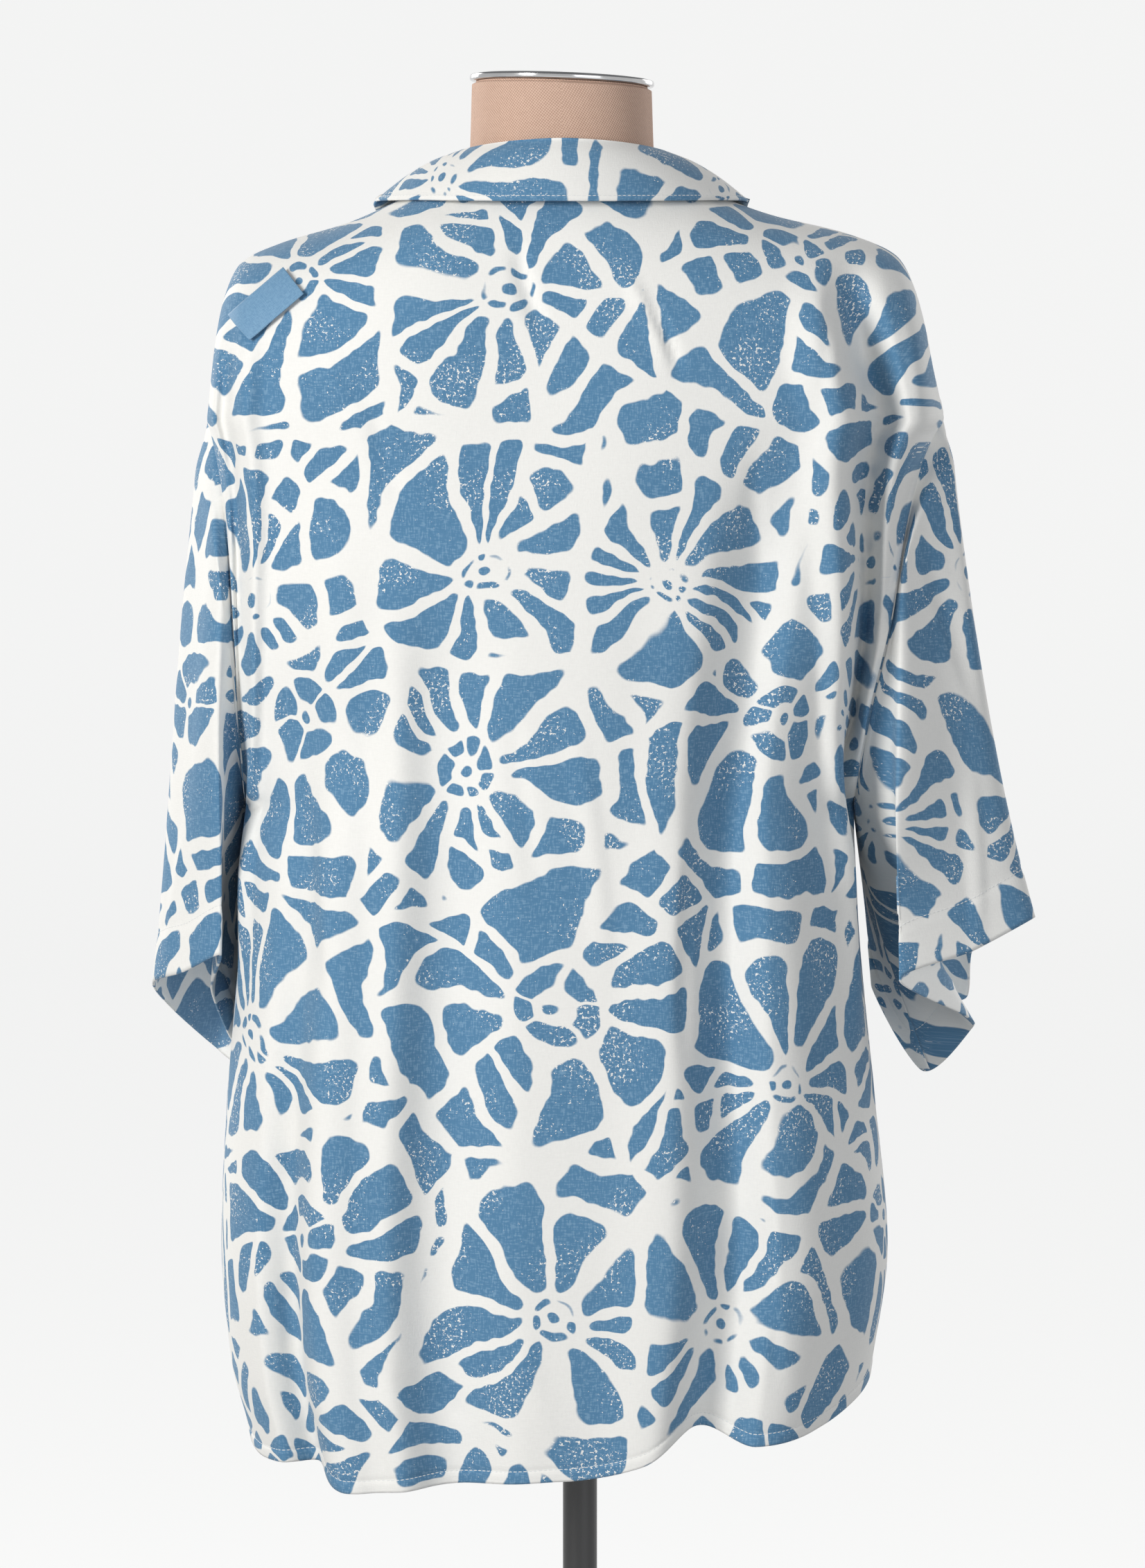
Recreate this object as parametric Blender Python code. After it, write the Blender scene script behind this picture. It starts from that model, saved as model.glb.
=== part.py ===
"""A short sleeve shirt with an open collar, worn by a limbless dress form on a pole stand.

Metres, +Z up. +Y is the back of the shirt, +X is the wearer's left. The origin is the middle of the
stand's underside. Every cloth piece is a thin wall: its outer face is worked out from the tables
below, and its inner face lies one cloth thickness further in.
"""

import math
from collections import namedtuple

import bpy
import numpy as np

# ---- driving sizes -------------------------------------------------------------------------------
CLOTH = 0.0016  # wall of a single layer, seam allowances and all
SEAM_GAP = 0.0009
LAY_GAP = 0.0012  # between a panel and what lies on it
CENTRE_X = 0.011  # the form leans this much to the wearer's left of its pole

NECK_TOP = 1.4910
CAP_TILT = 0.038  # the cap and the neck under it rise this much per metre towards +X
SQUARENESS = 2.6  # exponent of the body's plan outline; 2 is an ellipse
SHOULDER_SLOPE = 0.80  # the outline's second exponent beside the armholes, where it runs flat

ARMHOLE_TOP = 1.292
UNDERARM = 1.060
ARMHOLE_BACK = 0.062
ARMHOLE_FRONT = 0.060
EVEN_FROM, EVEN_BY = 0.80, 1.17  # columns go from a round body's spacing to an even one
ARM_SHAPE_FROM = 1.13  # and from here up to the shoulder's

NECK_SHARE = 0.25  # share of a half panel's width that ends at the neckline
NECK_HALF_WIDTH = 0.075
NECK_BACK = 0.066
NECK_BACK_HEIGHT = 1.427
NECK_SIDE_HEIGHT = 1.433

FRONT_OVERLAP = 0.018  # from the centre front to a front edge
BREAK_HEIGHT = 1.285  # where the lapels start to turn back
LAPEL_TOP = 1.352

BUTTON_RADIUS = 0.0057
BUTTON_THICKNESS = 0.0026
BUTTON_TOP = 1.248
BUTTON_PITCH = 0.115
BUTTON_COUNT = 5

LABEL_HIGH = (0.1740, 1.3785)  # x and height of its upper corner, nearer the neck
LABEL_LOW = (0.2063, 1.3516)  # of its upper corner at the arm
LABEL_WIDTH = 0.0200
LABEL_CLOTH = 0.0008

POLE_RADIUS = 0.0105
TORSO_BOTTOM = 0.790
BASE_RADIUS = 0.170
BASE_THICKNESS = 0.012
CAP_RADIUS = 0.0555
CAP_THICKNESS = 0.004
FLANGE_RADIUS = 0.045
FLANGE_THICKNESS = 0.010
PIECE_GAP = 0.0003

# ---- the body's outline at each height: side, back and front reach --------------------------------
Section = namedtuple("Section", "height left right back front")
BODY = [
    Section(0.620, 0.193, -0.160, 0.136, -0.126),
    Section(0.680, 0.203, -0.171, 0.140, -0.132),
    Section(0.720, 0.213, -0.178, 0.141, -0.137),
    Section(0.790, 0.2185, -0.187, 0.141, -0.142),
    Section(0.880, 0.2145, -0.179, 0.139, -0.146),
    Section(1.000, 0.205, -0.168, 0.133, -0.150),
    Section(1.060, 0.203, -0.166, 0.130, -0.152),
    Section(1.110, 0.204, -0.172, 0.128, -0.152),
    Section(1.170, 0.207, -0.185, 0.127, -0.150),
    Section(1.225, 0.2105, -0.194, 0.125, -0.145),
    Section(1.262, 0.2160, -0.2035, 0.122, -0.138),
    Section(1.280, 0.2205, -0.2115, 0.120, -0.133),
    Section(1.292, 0.2240, -0.2190, 0.119, -0.130),
    Section(1.330, 0.2240, -0.2190, 0.113, -0.117),
    Section(1.370, 0.2240, -0.2190, 0.104, -0.101),
    Section(1.400, 0.2240, -0.2190, 0.093, -0.086),
    Section(1.420, 0.2240, -0.2190, 0.080, -0.074),
    Section(1.440, 0.2240, -0.2190, 0.066, -0.062),
]

# ---- the shoulder seam, from the neck point (share 0) to the dropped armhole (share 1) ------------
Shoulder = namedtuple("Shoulder", "share left left_height right right_height")
SHOULDER = [
    Shoulder(0.00, 0.086, 1.433, -0.064, 1.433),
    Shoulder(0.22, 0.135, 1.4105, -0.114, 1.4140),
    Shoulder(0.42, 0.180, 1.397, -0.164, 1.401),
    Shoulder(0.54, 0.2045, 1.384, -0.191, 1.388),
    Shoulder(0.66, 0.2155, 1.357, -0.2035, 1.361),
    Shoulder(0.83, 0.2205, 1.324, -0.2115, 1.325),
    Shoulder(1.00, 0.2240, ARMHOLE_TOP, -0.2190, ARMHOLE_TOP),
]

# ---- the hem's height round the body; place -1 is the right side seam, 0 the middle, 1 the left ---
Hem = namedtuple("Hem", "place back front")
HEM = [
    Hem(-1.00, 0.716, 0.716),
    Hem(-0.75, 0.704, 0.713),
    Hem(-0.50, 0.690, 0.708),
    Hem(-0.36, 0.6875, 0.705),
    Hem(-0.215, 0.6985, 0.703),
    Hem(-0.11, 0.679, 0.702),
    Hem(0.00, 0.6695, 0.702),
    Hem(0.24, 0.663, 0.700),
    Hem(0.40, 0.660, 0.697),
    Hem(0.53, 0.6705, 0.693),
    Hem(0.75, 0.669, 0.687),
    Hem(1.00, 0.678, 0.678),
]

# ---- the largest folds. Each runs between two heights; depth is out of the cloth, so a valley is
# negative. Places and half widths are shares of a half panel. -----------------------------------
Fold = namedtuple("Fold", "low high low_place high_place half_width low_depth high_depth")
BACK_FOLDS = [
    Fold(0.55, 1.16, 0.395, 0.42, 0.13, 0.011, 0.006),  # left back corner
    Fold(0.55, 0.98, 0.540, 0.53, 0.11, -0.026, -0.005),  # recess beside it
    Fold(0.55, 1.10, 0.265, 0.27, 0.08, 0.006, 0.004),  # ridge beside the left valley
    Fold(0.55, 1.12, 0.145, 0.16, 0.12, -0.018, -0.009),  # left valley
    Fold(0.55, 1.16, -0.110, -0.19, 0.11, 0.006, 0.004),  # ridge beside the right valley
    Fold(0.55, 1.20, -0.225, -0.32, 0.12, -0.024, -0.012),  # right valley
    Fold(0.55, 1.15, -0.420, -0.46, 0.16, 0.007, 0.004),  # right back swell
    Fold(1.00, 1.32, -0.780, -0.405, 0.11, 0.011, 0.011),  # right blade ridge
    Fold(1.12, 1.34, -0.785, -0.49, 0.11, -0.010, -0.018),  # valley outside it
    Fold(1.33, 1.36, -0.720, -0.70, 0.12, 0.006, 0.004),  # right shoulder ridge
    Fold(1.02, 1.30, 0.840, 0.63, 0.08, 0.006, 0.007),  # left blade ridge
    Fold(1.12, 1.33, 0.900, 0.72, 0.07, -0.005, -0.008),  # valley outside it
    Fold(1.33, 1.36, 0.830, 0.81, 0.09, 0.005, 0.003),  # left shoulder ridge
]
FRONT_FOLDS = [
    Fold(0.55, 1.10, 0.300, 0.32, 0.16, -0.014, -0.006),
    Fold(0.55, 1.00, 0.560, 0.55, 0.15, 0.010, 0.004),
    Fold(0.55, 1.10, -0.330, -0.30, 0.17, -0.013, -0.007),
    Fold(0.55, 1.00, -0.600, -0.58, 0.16, 0.008, 0.004),
    Fold(1.16, 1.32, -0.780, -0.60, 0.13, -0.005, -0.009),
    Fold(1.16, 1.32, 0.780, 0.60, 0.13, -0.005, -0.009),
]
FOLD_FADE = 0.10  # height over which a fold dies out past its ends

# ---- sleeve hems: share runs from the top line round the back, the underarm and the front --------
HemCorner = namedtuple("HemCorner", "share x y z")
LEFT_SLEEVE_HEM = [
    HemCorner(0.00, 0.2600, 0.002, 0.948),  # outer back corner
    HemCorner(0.12, 0.2400, 0.036, 0.958),  # hem of the back layer
    HemCorner(0.21, 0.2150, 0.058, 0.971),  # back ridge
    HemCorner(0.33, 0.2235, 0.010, 0.945),  # bottom of the pleat behind it
    HemCorner(0.44, 0.2170, -0.036, 0.912),  # inner layer beside the body
    HemCorner(0.55, 0.2075, -0.078, 0.884),  # underarm, the lowest point
    HemCorner(0.68, 0.2280, -0.108, 0.892),  # front
    HemCorner(0.84, 0.2560, -0.062, 0.926),  # outer front
]
RIGHT_SLEEVE_HEM = [
    HemCorner(0.00, -0.2755, 0.020, 0.990),  # outer back corner
    HemCorner(0.12, -0.2350, 0.046, 0.972),  # hem of the back layer
    HemCorner(0.23, -0.1900, 0.066, 0.957),  # back ridge
    HemCorner(0.35, -0.2344, 0.012, 0.9285),  # outer fold of the second layer
    HemCorner(0.41, -0.2389, -0.020, 0.9146),
    HemCorner(0.52, -0.2125, -0.050, 0.887),  # underarm, the lowest point
    HemCorner(0.63, -0.1815, -0.052, 0.940),  # inner layer beside the body
    HemCorner(0.73, -0.2080, -0.088, 0.935),  # front
    HemCorner(0.82, -0.2405, -0.066, 0.930),
    HemCorner(0.91, -0.2440, -0.045, 0.966),  # outer front
]
LEFT_FLARE = 1.0  # above 1, a sleeve hangs straight first and widens near its hem
RIGHT_FLARE = 1.45

# ---- the dress form: half width and reach at each height -----------------------------------------
FormSection = namedtuple("FormSection", "height half_width back front")
FORM = [
    FormSection(TORSO_BOTTOM, 0.146, 0.092, -0.086),
    FormSection(0.800, 0.154, 0.099, -0.092),
    FormSection(0.850, 0.163, 0.108, -0.100),
    FormSection(0.920, 0.150, 0.100, -0.098),
    FormSection(1.000, 0.124, 0.078, -0.092),
    FormSection(1.060, 0.122, 0.074, -0.098),
    FormSection(1.120, 0.138, 0.082, -0.122),
    FormSection(1.170, 0.148, 0.090, -0.132),
    FormSection(1.230, 0.158, 0.096, -0.116),
    FormSection(1.290, 0.178, 0.096, -0.096),
    FormSection(1.340, 0.189, 0.088, -0.080),
    FormSection(1.370, 0.187, 0.078, -0.070),
    FormSection(1.386, 0.172, 0.070, -0.064),
    FormSection(1.396, 0.138, 0.056, -0.050),
    FormSection(1.404, 0.110, 0.053, -0.048),
    FormSection(1.412, 0.083, 0.052, -0.048),
    FormSection(1.424, 0.064, 0.053, -0.051),
    FormSection(1.440, 0.056, 0.055, -0.055),
    FormSection(NECK_TOP, 0.054, 0.054, -0.054),
]

# ---- finishes: base colour, roughness, metallic ---------------------------------------------------
FINISHES = {
    "printed_cloth": ((0.30, 0.47, 0.66), 0.90, 0.0),
    "label_tape": ((0.24, 0.42, 0.66), 0.80, 0.0),
    "button": ((0.86, 0.85, 0.80), 0.35, 0.0),
    "form_linen": ((0.55, 0.40, 0.31), 0.95, 0.0),
    "chrome": ((0.80, 0.80, 0.80), 0.15, 1.0),
    "black_metal": ((0.02, 0.02, 0.02), 0.40, 0.0),
}


def column(rows, name):
    return np.array([getattr(row, name) for row in rows], float)


def follow(places, values, at):
    """A smooth curve through a table's points that never overshoots them."""
    at = np.clip(np.asarray(at, float), places[0], places[-1])
    steps = np.diff(places)
    slopes = np.diff(values) / steps
    tangents = np.zeros(len(values))
    before, after = slopes[:-1], slopes[1:]
    same_way = before * after > 0
    mean = 2 * before * after / np.where(same_way, before + after, 1.0)
    tangents[1:-1] = np.where(same_way, mean, 0.0)
    tangents[0], tangents[-1] = slopes[0], slopes[-1]
    i = np.clip(np.searchsorted(places, at, side="right") - 1, 0, len(steps) - 1)
    t = (at - places[i]) / steps[i]
    start = (1 + 2 * t) * (1 - t) ** 2 * values[i] + t * (1 - t) ** 2 * steps[i] * tangents[i]
    end = t * t * (3 - 2 * t) * values[i + 1] + t * t * (t - 1) * steps[i] * tangents[i + 1]
    return start + end


def table(rows, name, at, key="height"):
    return follow(column(rows, key), column(rows, name), at)


def ramp(value, low, high):
    """0 below low, 1 above high, smooth between."""
    t = np.clip((value - low) / (high - low), 0.0, 1.0)
    return t * t * (3 - 2 * t)


# ---- the body of the shirt ------------------------------------------------------------------------
def side_of(place, left, right):
    return np.where(place >= 0, left, right)


def shoulder_point(place):
    """The top of a column: x and height on the shoulder seam, or x alone inside the neckline."""
    share = (np.abs(place) - NECK_SHARE) / (1 - NECK_SHARE)
    across = side_of(
        place,
        table(SHOULDER, "left", share, "share"),
        table(SHOULDER, "right", share, "share"),
    )
    height = side_of(
        place,
        table(SHOULDER, "left_height", share, "share"),
        table(SHOULDER, "right_height", share, "share"),
    )
    in_neck = np.abs(place) < NECK_SHARE
    neck_x = CENTRE_X + NECK_HALF_WIDTH * place / NECK_SHARE
    return np.where(in_neck, neck_x, across), np.where(in_neck, NECK_SIDE_HEIGHT, height)


def beside_armhole(height):
    return ramp(height, UNDERARM - 0.05, UNDERARM + 0.06)


def body_x(place, height):
    """x of a column at a height, and its share of the reach: spaced round the body below the
    armholes, evenly beside them and along the shoulder above."""
    reach = side_of(place, table(BODY, "left", height), table(BODY, "right", height)) - CENTRE_X
    round_body = np.abs(np.sin(place * math.pi / 2)) ** (2 / SQUARENESS)
    beside = ramp(height, EVEN_FROM, EVEN_BY)
    top_x, _ = shoulder_point(place)
    end_x = side_of(place, BODY[-1].left, BODY[-1].right)
    along_shoulder = (top_x - CENTRE_X) / (end_x - CENTRE_X)
    lean = ramp(height, ARM_SHAPE_FROM, ARMHOLE_TOP)
    share = (round_body * (1 - beside) + np.abs(place) * beside) * (1 - lean) + along_shoulder * lean
    share = np.clip(share, 0.0, 1.0)
    return CENTRE_X + reach * share, share


def round_place(place, share):
    """Where a share of the reach falls round a plain body; the folds are placed by this."""
    return np.sign(place) * np.arcsin(share ** (SQUARENESS / 2)) * 2 / math.pi


def armhole_depth(height, top, half_depth, place):
    """Half the armhole's opening at a height, between the underarm and a column's own top. It sets in
    more gently away from the armhole."""
    up = np.clip((height - UNDERARM) / (top - UNDERARM), 0.0, 1.0)
    up = up ** (1 + 2 * (1 - np.clip(np.abs(place), 0.0, 1.0)))
    return half_depth * 2 * np.sqrt(up * (1 - up))


def rounding(below_top, radius, start):
    """How far a panel has swung out from its top edge, from start at the edge to 1 below it."""
    t = np.clip(below_top / radius, 0.0, 1.0)
    return np.sqrt(np.clip(1 - (1 - start**2) * (1 - t) ** 2, 0.0, 1.0))


def neck_start(place):
    """1 at the middle of the neckline and 0 at the shoulder seam."""
    across = np.clip(np.abs(place) / NECK_SHARE, 0.0, 1.0)
    return np.sqrt(1 - across**2)


def bump(distance):
    return np.where(np.abs(distance) < 1, 0.5 + 0.5 * np.cos(math.pi * distance), 0.0)


def fold_depth(folds, place, height):
    total = np.zeros(np.broadcast(place, height).shape)
    for fold in folds:
        t = np.clip((height - fold.low) / (fold.high - fold.low), 0.0, 1.0)
        at = fold.low_place + (fold.high_place - fold.low_place) * t
        depth = fold.low_depth + (fold.high_depth - fold.low_depth) * t
        alive = ramp(height, fold.low - FOLD_FADE, fold.low) * (
            1 - ramp(height, fold.high, fold.high + FOLD_FADE)
        )
        total = total + depth * alive * bump((place - at) / fold.half_width)
    return total


def panel_point(place, height, top, is_back):
    """A point of the back (is_back) or of a front, at a column's place and a height."""
    x, share = body_x(place, height)
    reach = table(BODY, "back" if is_back else "front", height)
    edge = armhole_depth(height, top, ARMHOLE_BACK if is_back else -ARMHOLE_FRONT, place)
    beside = beside_armhole(height)
    second = 1 / SQUARENESS + (SHOULDER_SLOPE - 1 / SQUARENESS) * beside
    outline = np.clip(1 - share**SQUARENESS, 0.0, 1.0) ** second
    radius = 0.035 + 0.045 * (1 - np.clip(np.abs(place), 0.0, 1.0))
    start = neck_start(place) if is_back else np.sqrt(neck_start(place))
    y = edge + (reach - edge) * outline * rounding(top - height, radius, start)
    folds = BACK_FOLDS if is_back else FRONT_FOLDS
    depth = fold_depth(folds, round_place(place, share), height) * ramp(top - height, 0.0, 0.09)
    lean = np.clip(np.abs(place), 0.0, 1.0) ** 2.2 * 0.8 * (1 - beside)
    facing = 1.0 if is_back else -1.0
    x = x + depth * np.sin(lean * math.pi / 2) * np.sign(place)
    y = y + depth * np.cos(lean * math.pi / 2) * facing
    return np.stack(np.broadcast_arrays(x, y, height), axis=-1)


def back_top(place):
    _, height = shoulder_point(place)
    in_neck = NECK_BACK_HEIGHT + (NECK_SIDE_HEIGHT - NECK_BACK_HEIGHT) * (place / NECK_SHARE) ** 2
    return np.where(np.abs(place) < NECK_SHARE, in_neck, height)


def front_top(place):
    """The shoulder seam, then the neckline's straight run down to the break of the lapels."""
    _, height = shoulder_point(place)
    across = np.clip(np.abs(place) / NECK_SHARE, 0.0, 1.0)
    in_neck = BREAK_HEIGHT + (NECK_SIDE_HEIGHT - BREAK_HEIGHT) * across**1.25
    return np.where(np.abs(place) < NECK_SHARE, in_neck, height)


def place_at(x, height):
    """The column that passes through x at a height."""
    columns = np.linspace(-1, 1, 401)
    spots, _ = body_x(columns, np.full(columns.shape, height))
    return float(np.interp(x, spots, columns))


def off_panel(x, height, is_back, lift):
    """A point lifted off the outside of a panel, along the panel's own normal."""
    place = np.clip(place_at(x, height), -0.98, 0.98)
    top = back_top if is_back else front_top
    step = 0.004
    spot, across, down = (
        panel_point(np.array(a), np.array(h), top(np.array(a)), is_back)
        for a, h in ((place, height), (place + step, height), (place, height - step))
    )
    normal = np.cross(across - spot, down - spot) * (1 if is_back else -1)
    return spot + normal / np.linalg.norm(normal) * lift


# ---- solids from grids of points -------------------------------------------------------------------
def grid_normals(points, closed):
    """Unit normals of a grid of points by its two directions; closed joins its first and last row."""
    if closed:
        along = np.roll(points, -1, axis=0) - np.roll(points, 1, axis=0)
    else:
        along = np.gradient(points, axis=0)
    across = np.gradient(points, axis=1)
    normals = np.cross(along, across)
    lengths = np.linalg.norm(normals, axis=2, keepdims=True)
    return normals / np.maximum(lengths, 1e-12)


def face_ring(count):
    return [(i, (i + 1) % count) for i in range(count)]


def make_object(name, points, faces, finish):
    mesh = bpy.data.meshes.new(name)
    mesh.from_pydata([tuple(p) for p in points], [], faces)
    mesh.validate()
    made = bpy.data.objects.new(name, mesh)
    bpy.context.scene.collection.objects.link(made)
    mesh.materials.append(bpy.data.materials[finish])
    mesh.shade_smooth()
    mesh.set_sharp_from_angle(angle=math.radians(40))
    return made


def outward(points, faces):
    """The faces turned so that the closed body's volume counts as positive."""
    total = 0.0
    for face in faces:
        for second, third in zip(face[1:-1], face[2:]):
            total += np.dot(points[face[0]], np.cross(points[second], points[third]))
    return faces if total > 0 else [tuple(reversed(face)) for face in faces]


def wall(name, outer, thickness, finish, inward, closed=False):
    """A closed wall: outer is a grid of points, and inward is 1 or -1 along the grid's normal."""
    rows, columns = outer.shape[:2]
    inner = outer + grid_normals(outer, closed) * thickness * inward
    points = np.concatenate([outer.reshape(-1, 3), inner.reshape(-1, 3)])
    below = rows * columns
    row_pairs = face_ring(rows) if closed else [(i, i + 1) for i in range(rows - 1)]
    faces = []
    for i, k in row_pairs:
        for j in range(columns - 1):
            a, b = i * columns + j, k * columns + j
            # Both faces of the wall are split along the shorter diagonal of the outer one.
            slant = np.linalg.norm(points[a] - points[b + 1]) < np.linalg.norm(points[b] - points[a + 1])
            halves = ((a, b, b + 1), (a, b + 1, a + 1)) if slant else ((a, b, a + 1), (b, b + 1, a + 1))
            for face in halves:
                faces.append(face)
                faces.append(tuple(below + c for c in reversed(face)))
        for j, turn in ((0, 1), (columns - 1, -1)):
            edge = (k * columns + j, i * columns + j, below + i * columns + j, below + k * columns + j)
            faces.append(edge[::turn])
    if not closed:
        for i, turn in ((0, 1), (rows - 1, -1)):
            for j in range(columns - 1):
                a, b = i * columns + j, i * columns + j + 1
                faces.append((a, b, below + b, below + a)[::turn])
    return make_object(name, points, outward(points, faces), finish)


def turned(name, profile, centre, segments, finish):
    """A solid of revolution about a vertical axis; profile is (radius, height) from bottom to top."""
    angles = np.linspace(0, 2 * math.pi, segments, endpoint=False)
    points = [
        (centre[0] + radius * math.cos(a), centre[1] + radius * math.sin(a), height)
        for radius, height in profile
        for a in angles
    ]
    faces = [tuple(range(segments)), tuple(range((len(profile) - 1) * segments, len(points)))]
    for level in range(len(profile) - 1):
        for i, k in face_ring(segments):
            low, high = level * segments, (level + 1) * segments
            faces.append((low + i, low + k, high + k, high + i))
    faces[0] = faces[0][::-1]
    points = np.array(points)
    return make_object(name, points, outward(points, faces), finish)


# ---- panels -----------------------------------------------------------------------------------------
BACK_COLUMNS, BACK_ROWS = 43, 20
FRONT_COLUMNS, FRONT_ROWS = 19, 18


def panel_rows(count):
    """Shares of a column's height, closer together towards the shoulder."""
    return 1 - (1 - np.linspace(0, 1, count)) ** 1.6


def panel_grid(places, rows, top, hem_name, is_back):
    place, share = np.meshgrid(places, rows, indexing="ij")
    top_height = top(place)
    hem_height = table(HEM, hem_name, place, "place")
    height = hem_height + (top_height - hem_height) * share
    return panel_point(place, height, top(place), is_back)


def back_panel():
    places = np.sin(np.linspace(-1, 1, BACK_COLUMNS) * math.pi / 2 * 0.62)
    places = places / places[-1]
    grid = panel_grid(places, panel_rows(BACK_ROWS), back_top, "back", True)
    grid[:, :, 1] += SEAM_GAP / 2
    wall("back", grid, CLOTH, "printed_cloth", 1)
    return grid


def front_panel(name, side, forward):
    """side is 1 for the wearer's left; forward lifts the front that buttons over the other."""
    reach = abs((BODY[5].left if side > 0 else BODY[5].right) - CENTRE_X)
    overlap = (FRONT_OVERLAP / reach) ** (SQUARENESS / 2) * 2 / math.pi
    fan = np.linspace(0, 1, FRONT_COLUMNS)
    places = side * (-overlap + (1 + overlap) * fan)
    grid = panel_grid(places, panel_rows(FRONT_ROWS), front_top, "front", False)
    near_edge = 1 - ramp(np.abs(grid[:, :, 0] - CENTRE_X), 0.020, 0.060)
    over_edge = np.maximum(near_edge, (side * places < 0)[:, None])
    grid[:, :, 1] -= SEAM_GAP / 2 + forward * over_edge
    wall(name, grid, CLOTH, "printed_cloth", -side)
    return grid


# ---- sleeves ----------------------------------------------------------------------------------------
SLEEVE_AROUND, SLEEVE_ROWS = 40, 13
SLEEVE_LIFT = 0.0015  # the sleeve starts this far outside the armhole's edge
SLEEVE_TUCK = 0.978  # and this much smaller round than the armhole
# fullness rolled over the armhole seam: its share at the seam and at the hem, and how far down it
# keeps its full size
Roll = namedtuple("Roll", "share hem_share half_width x y keep")
LEFT_ROLLS = [
    Roll(0.00, 0.00, 0.13, 0.005, 0.000, 0.25),
    Roll(0.16, 0.18, 0.14, 0.003, 0.013, 0.40),
    Roll(0.80, 0.80, 0.15, 0.001, -0.010, 0.25),
]
RIGHT_ROLLS = [
    Roll(0.00, 0.00, 0.16, 0.003, 0.026, 0.20),
    Roll(0.15, 0.23, 0.13, -0.003, 0.015, 0.50),
    Roll(0.80, 0.80, 0.15, 0.001, -0.010, 0.25),
]


def closed_curve(shares, values, at):
    """A smooth closed curve through a table's points, by share of the way round."""
    count = len(shares)
    at = np.mod(at, 1.0)
    starts = np.append(shares, 1.0)
    i = np.clip(np.searchsorted(starts, at, side="right") - 1, 0, count - 1)
    t = (at - starts[i]) / (starts[i + 1] - starts[i])
    p0, p1 = values[(i - 1) % count], values[i]
    p2, p3 = values[(i + 1) % count], values[(i + 2) % count]
    soft = 0.42  # 0.5 is the usual round curve; less makes a crisper fold
    m1, m2 = soft * (p2 - p0), soft * (p3 - p1)
    t = t[..., None]
    return (
        (2 * t**3 - 3 * t**2 + 1) * p1
        + (t**3 - 2 * t**2 + t) * m1
        + (3 * t**2 - 2 * t**3) * p2
        + (t**3 - t**2) * m2
    )


def armhole_loop(share, side):
    """The seam round the armhole: top, back, underarm, front."""
    angle = 2 * math.pi * share
    height = UNDERARM + (ARMHOLE_TOP - UNDERARM) / 2 * (1 + np.cos(angle))
    x = table(BODY, "left" if side > 0 else "right", height)
    depth = np.where(np.sin(angle) >= 0, ARMHOLE_BACK, ARMHOLE_FRONT)
    return np.stack([x, depth * np.sin(angle), height], axis=-1)


def sleeve(name, side, corners, flare, rolls):
    shares = np.linspace(0, 1, SLEEVE_AROUND, endpoint=False)
    places = column(corners, "share")
    spots = np.stack([column(corners, axis) for axis in "xyz"], axis=1)
    hem = closed_curve(places, spots, shares)
    seam = armhole_loop(shares, side)
    middle = np.array([0.0, 0.0, (ARMHOLE_TOP + UNDERARM) / 2])
    tuck = np.array([1.0, SLEEVE_TUCK, SLEEVE_TUCK])
    seam = middle + (seam - middle) * tuck + np.array([side * SLEEVE_LIFT, 0.0, 0.0])
    down = np.linspace(0, 1, SLEEVE_ROWS)[None, :, None]
    spread = down**flare
    plan = seam[:, None, :2] * (1 - spread) + hem[:, None, :2] * spread
    height = seam[:, None, 2:] * (1 - down) + hem[:, None, 2:] * down
    grid = np.concatenate([plan, height], axis=2)
    down = down[:, :, 0]
    for row in rolls:
        at = row.share + (row.hem_share - row.share) * down
        off = (shares[:, None] - at + 0.5) % 1.0 - 0.5
        amount = bump(off / row.half_width) * ramp(down, 0.0, 0.10) * (1 - ramp(down, row.keep, 0.95))
        grid = grid + amount[:, :, None] * np.array([side * row.x, row.y, 0.0])
    wall(name, grid, CLOTH, "printed_cloth", side, closed=True)
    return grid


# ---- collar and lapels ------------------------------------------------------------------------------
COLLAR_ROWS = 35
COLLAR_CLOTH = 0.0013
BACK_SHARE = 0.55  # share of half the collar's length that runs round the back of the neck
FOLD_LATERAL, FOLD_BACK, FOLD_HEIGHT, FOLD_SIDE_DROP = 0.061, 0.0655, 1.4545, 0.005
EDGE_LATERAL, EDGE_BACK, EDGE_HEIGHT = 0.1125, 0.0905, 1.4185
COLLAR_END_PLACE = 0.135
COLLAR_POINT_X, COLLAR_POINT_HEIGHT = 0.104, 1.344
Fall = namedtuple("Fall", "share swell")  # share of the way from fold to edge, and how far it bows out
FALL = [Fall(0.10, 0.0030), Fall(0.35, 0.0050), Fall(0.65, 0.0042), Fall(1.00, 0.0)]


def collar_back_row(turn, side):
    """Seam, fold and edge of the collar behind the shoulder seams; turn is 0 at the centre back."""
    lateral, back = math.sin(turn), math.cos(turn)
    neck = NECK_HALF_WIDTH - 0.0038, NECK_BACK + 0.0040
    drop = FOLD_SIDE_DROP * lateral**2
    seam = (neck[0] * lateral, neck[1] * back, 1.4285 + 0.0050 * lateral**2)
    fold = (FOLD_LATERAL * lateral, FOLD_BACK * back, FOLD_HEIGHT - drop)
    edge = (EDGE_LATERAL * lateral, EDGE_BACK * back, EDGE_HEIGHT + 0.0035 * lateral**2)
    return [np.array([CENTRE_X + side * p[0], p[1], p[2]]) for p in (seam, fold, edge)]


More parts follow.
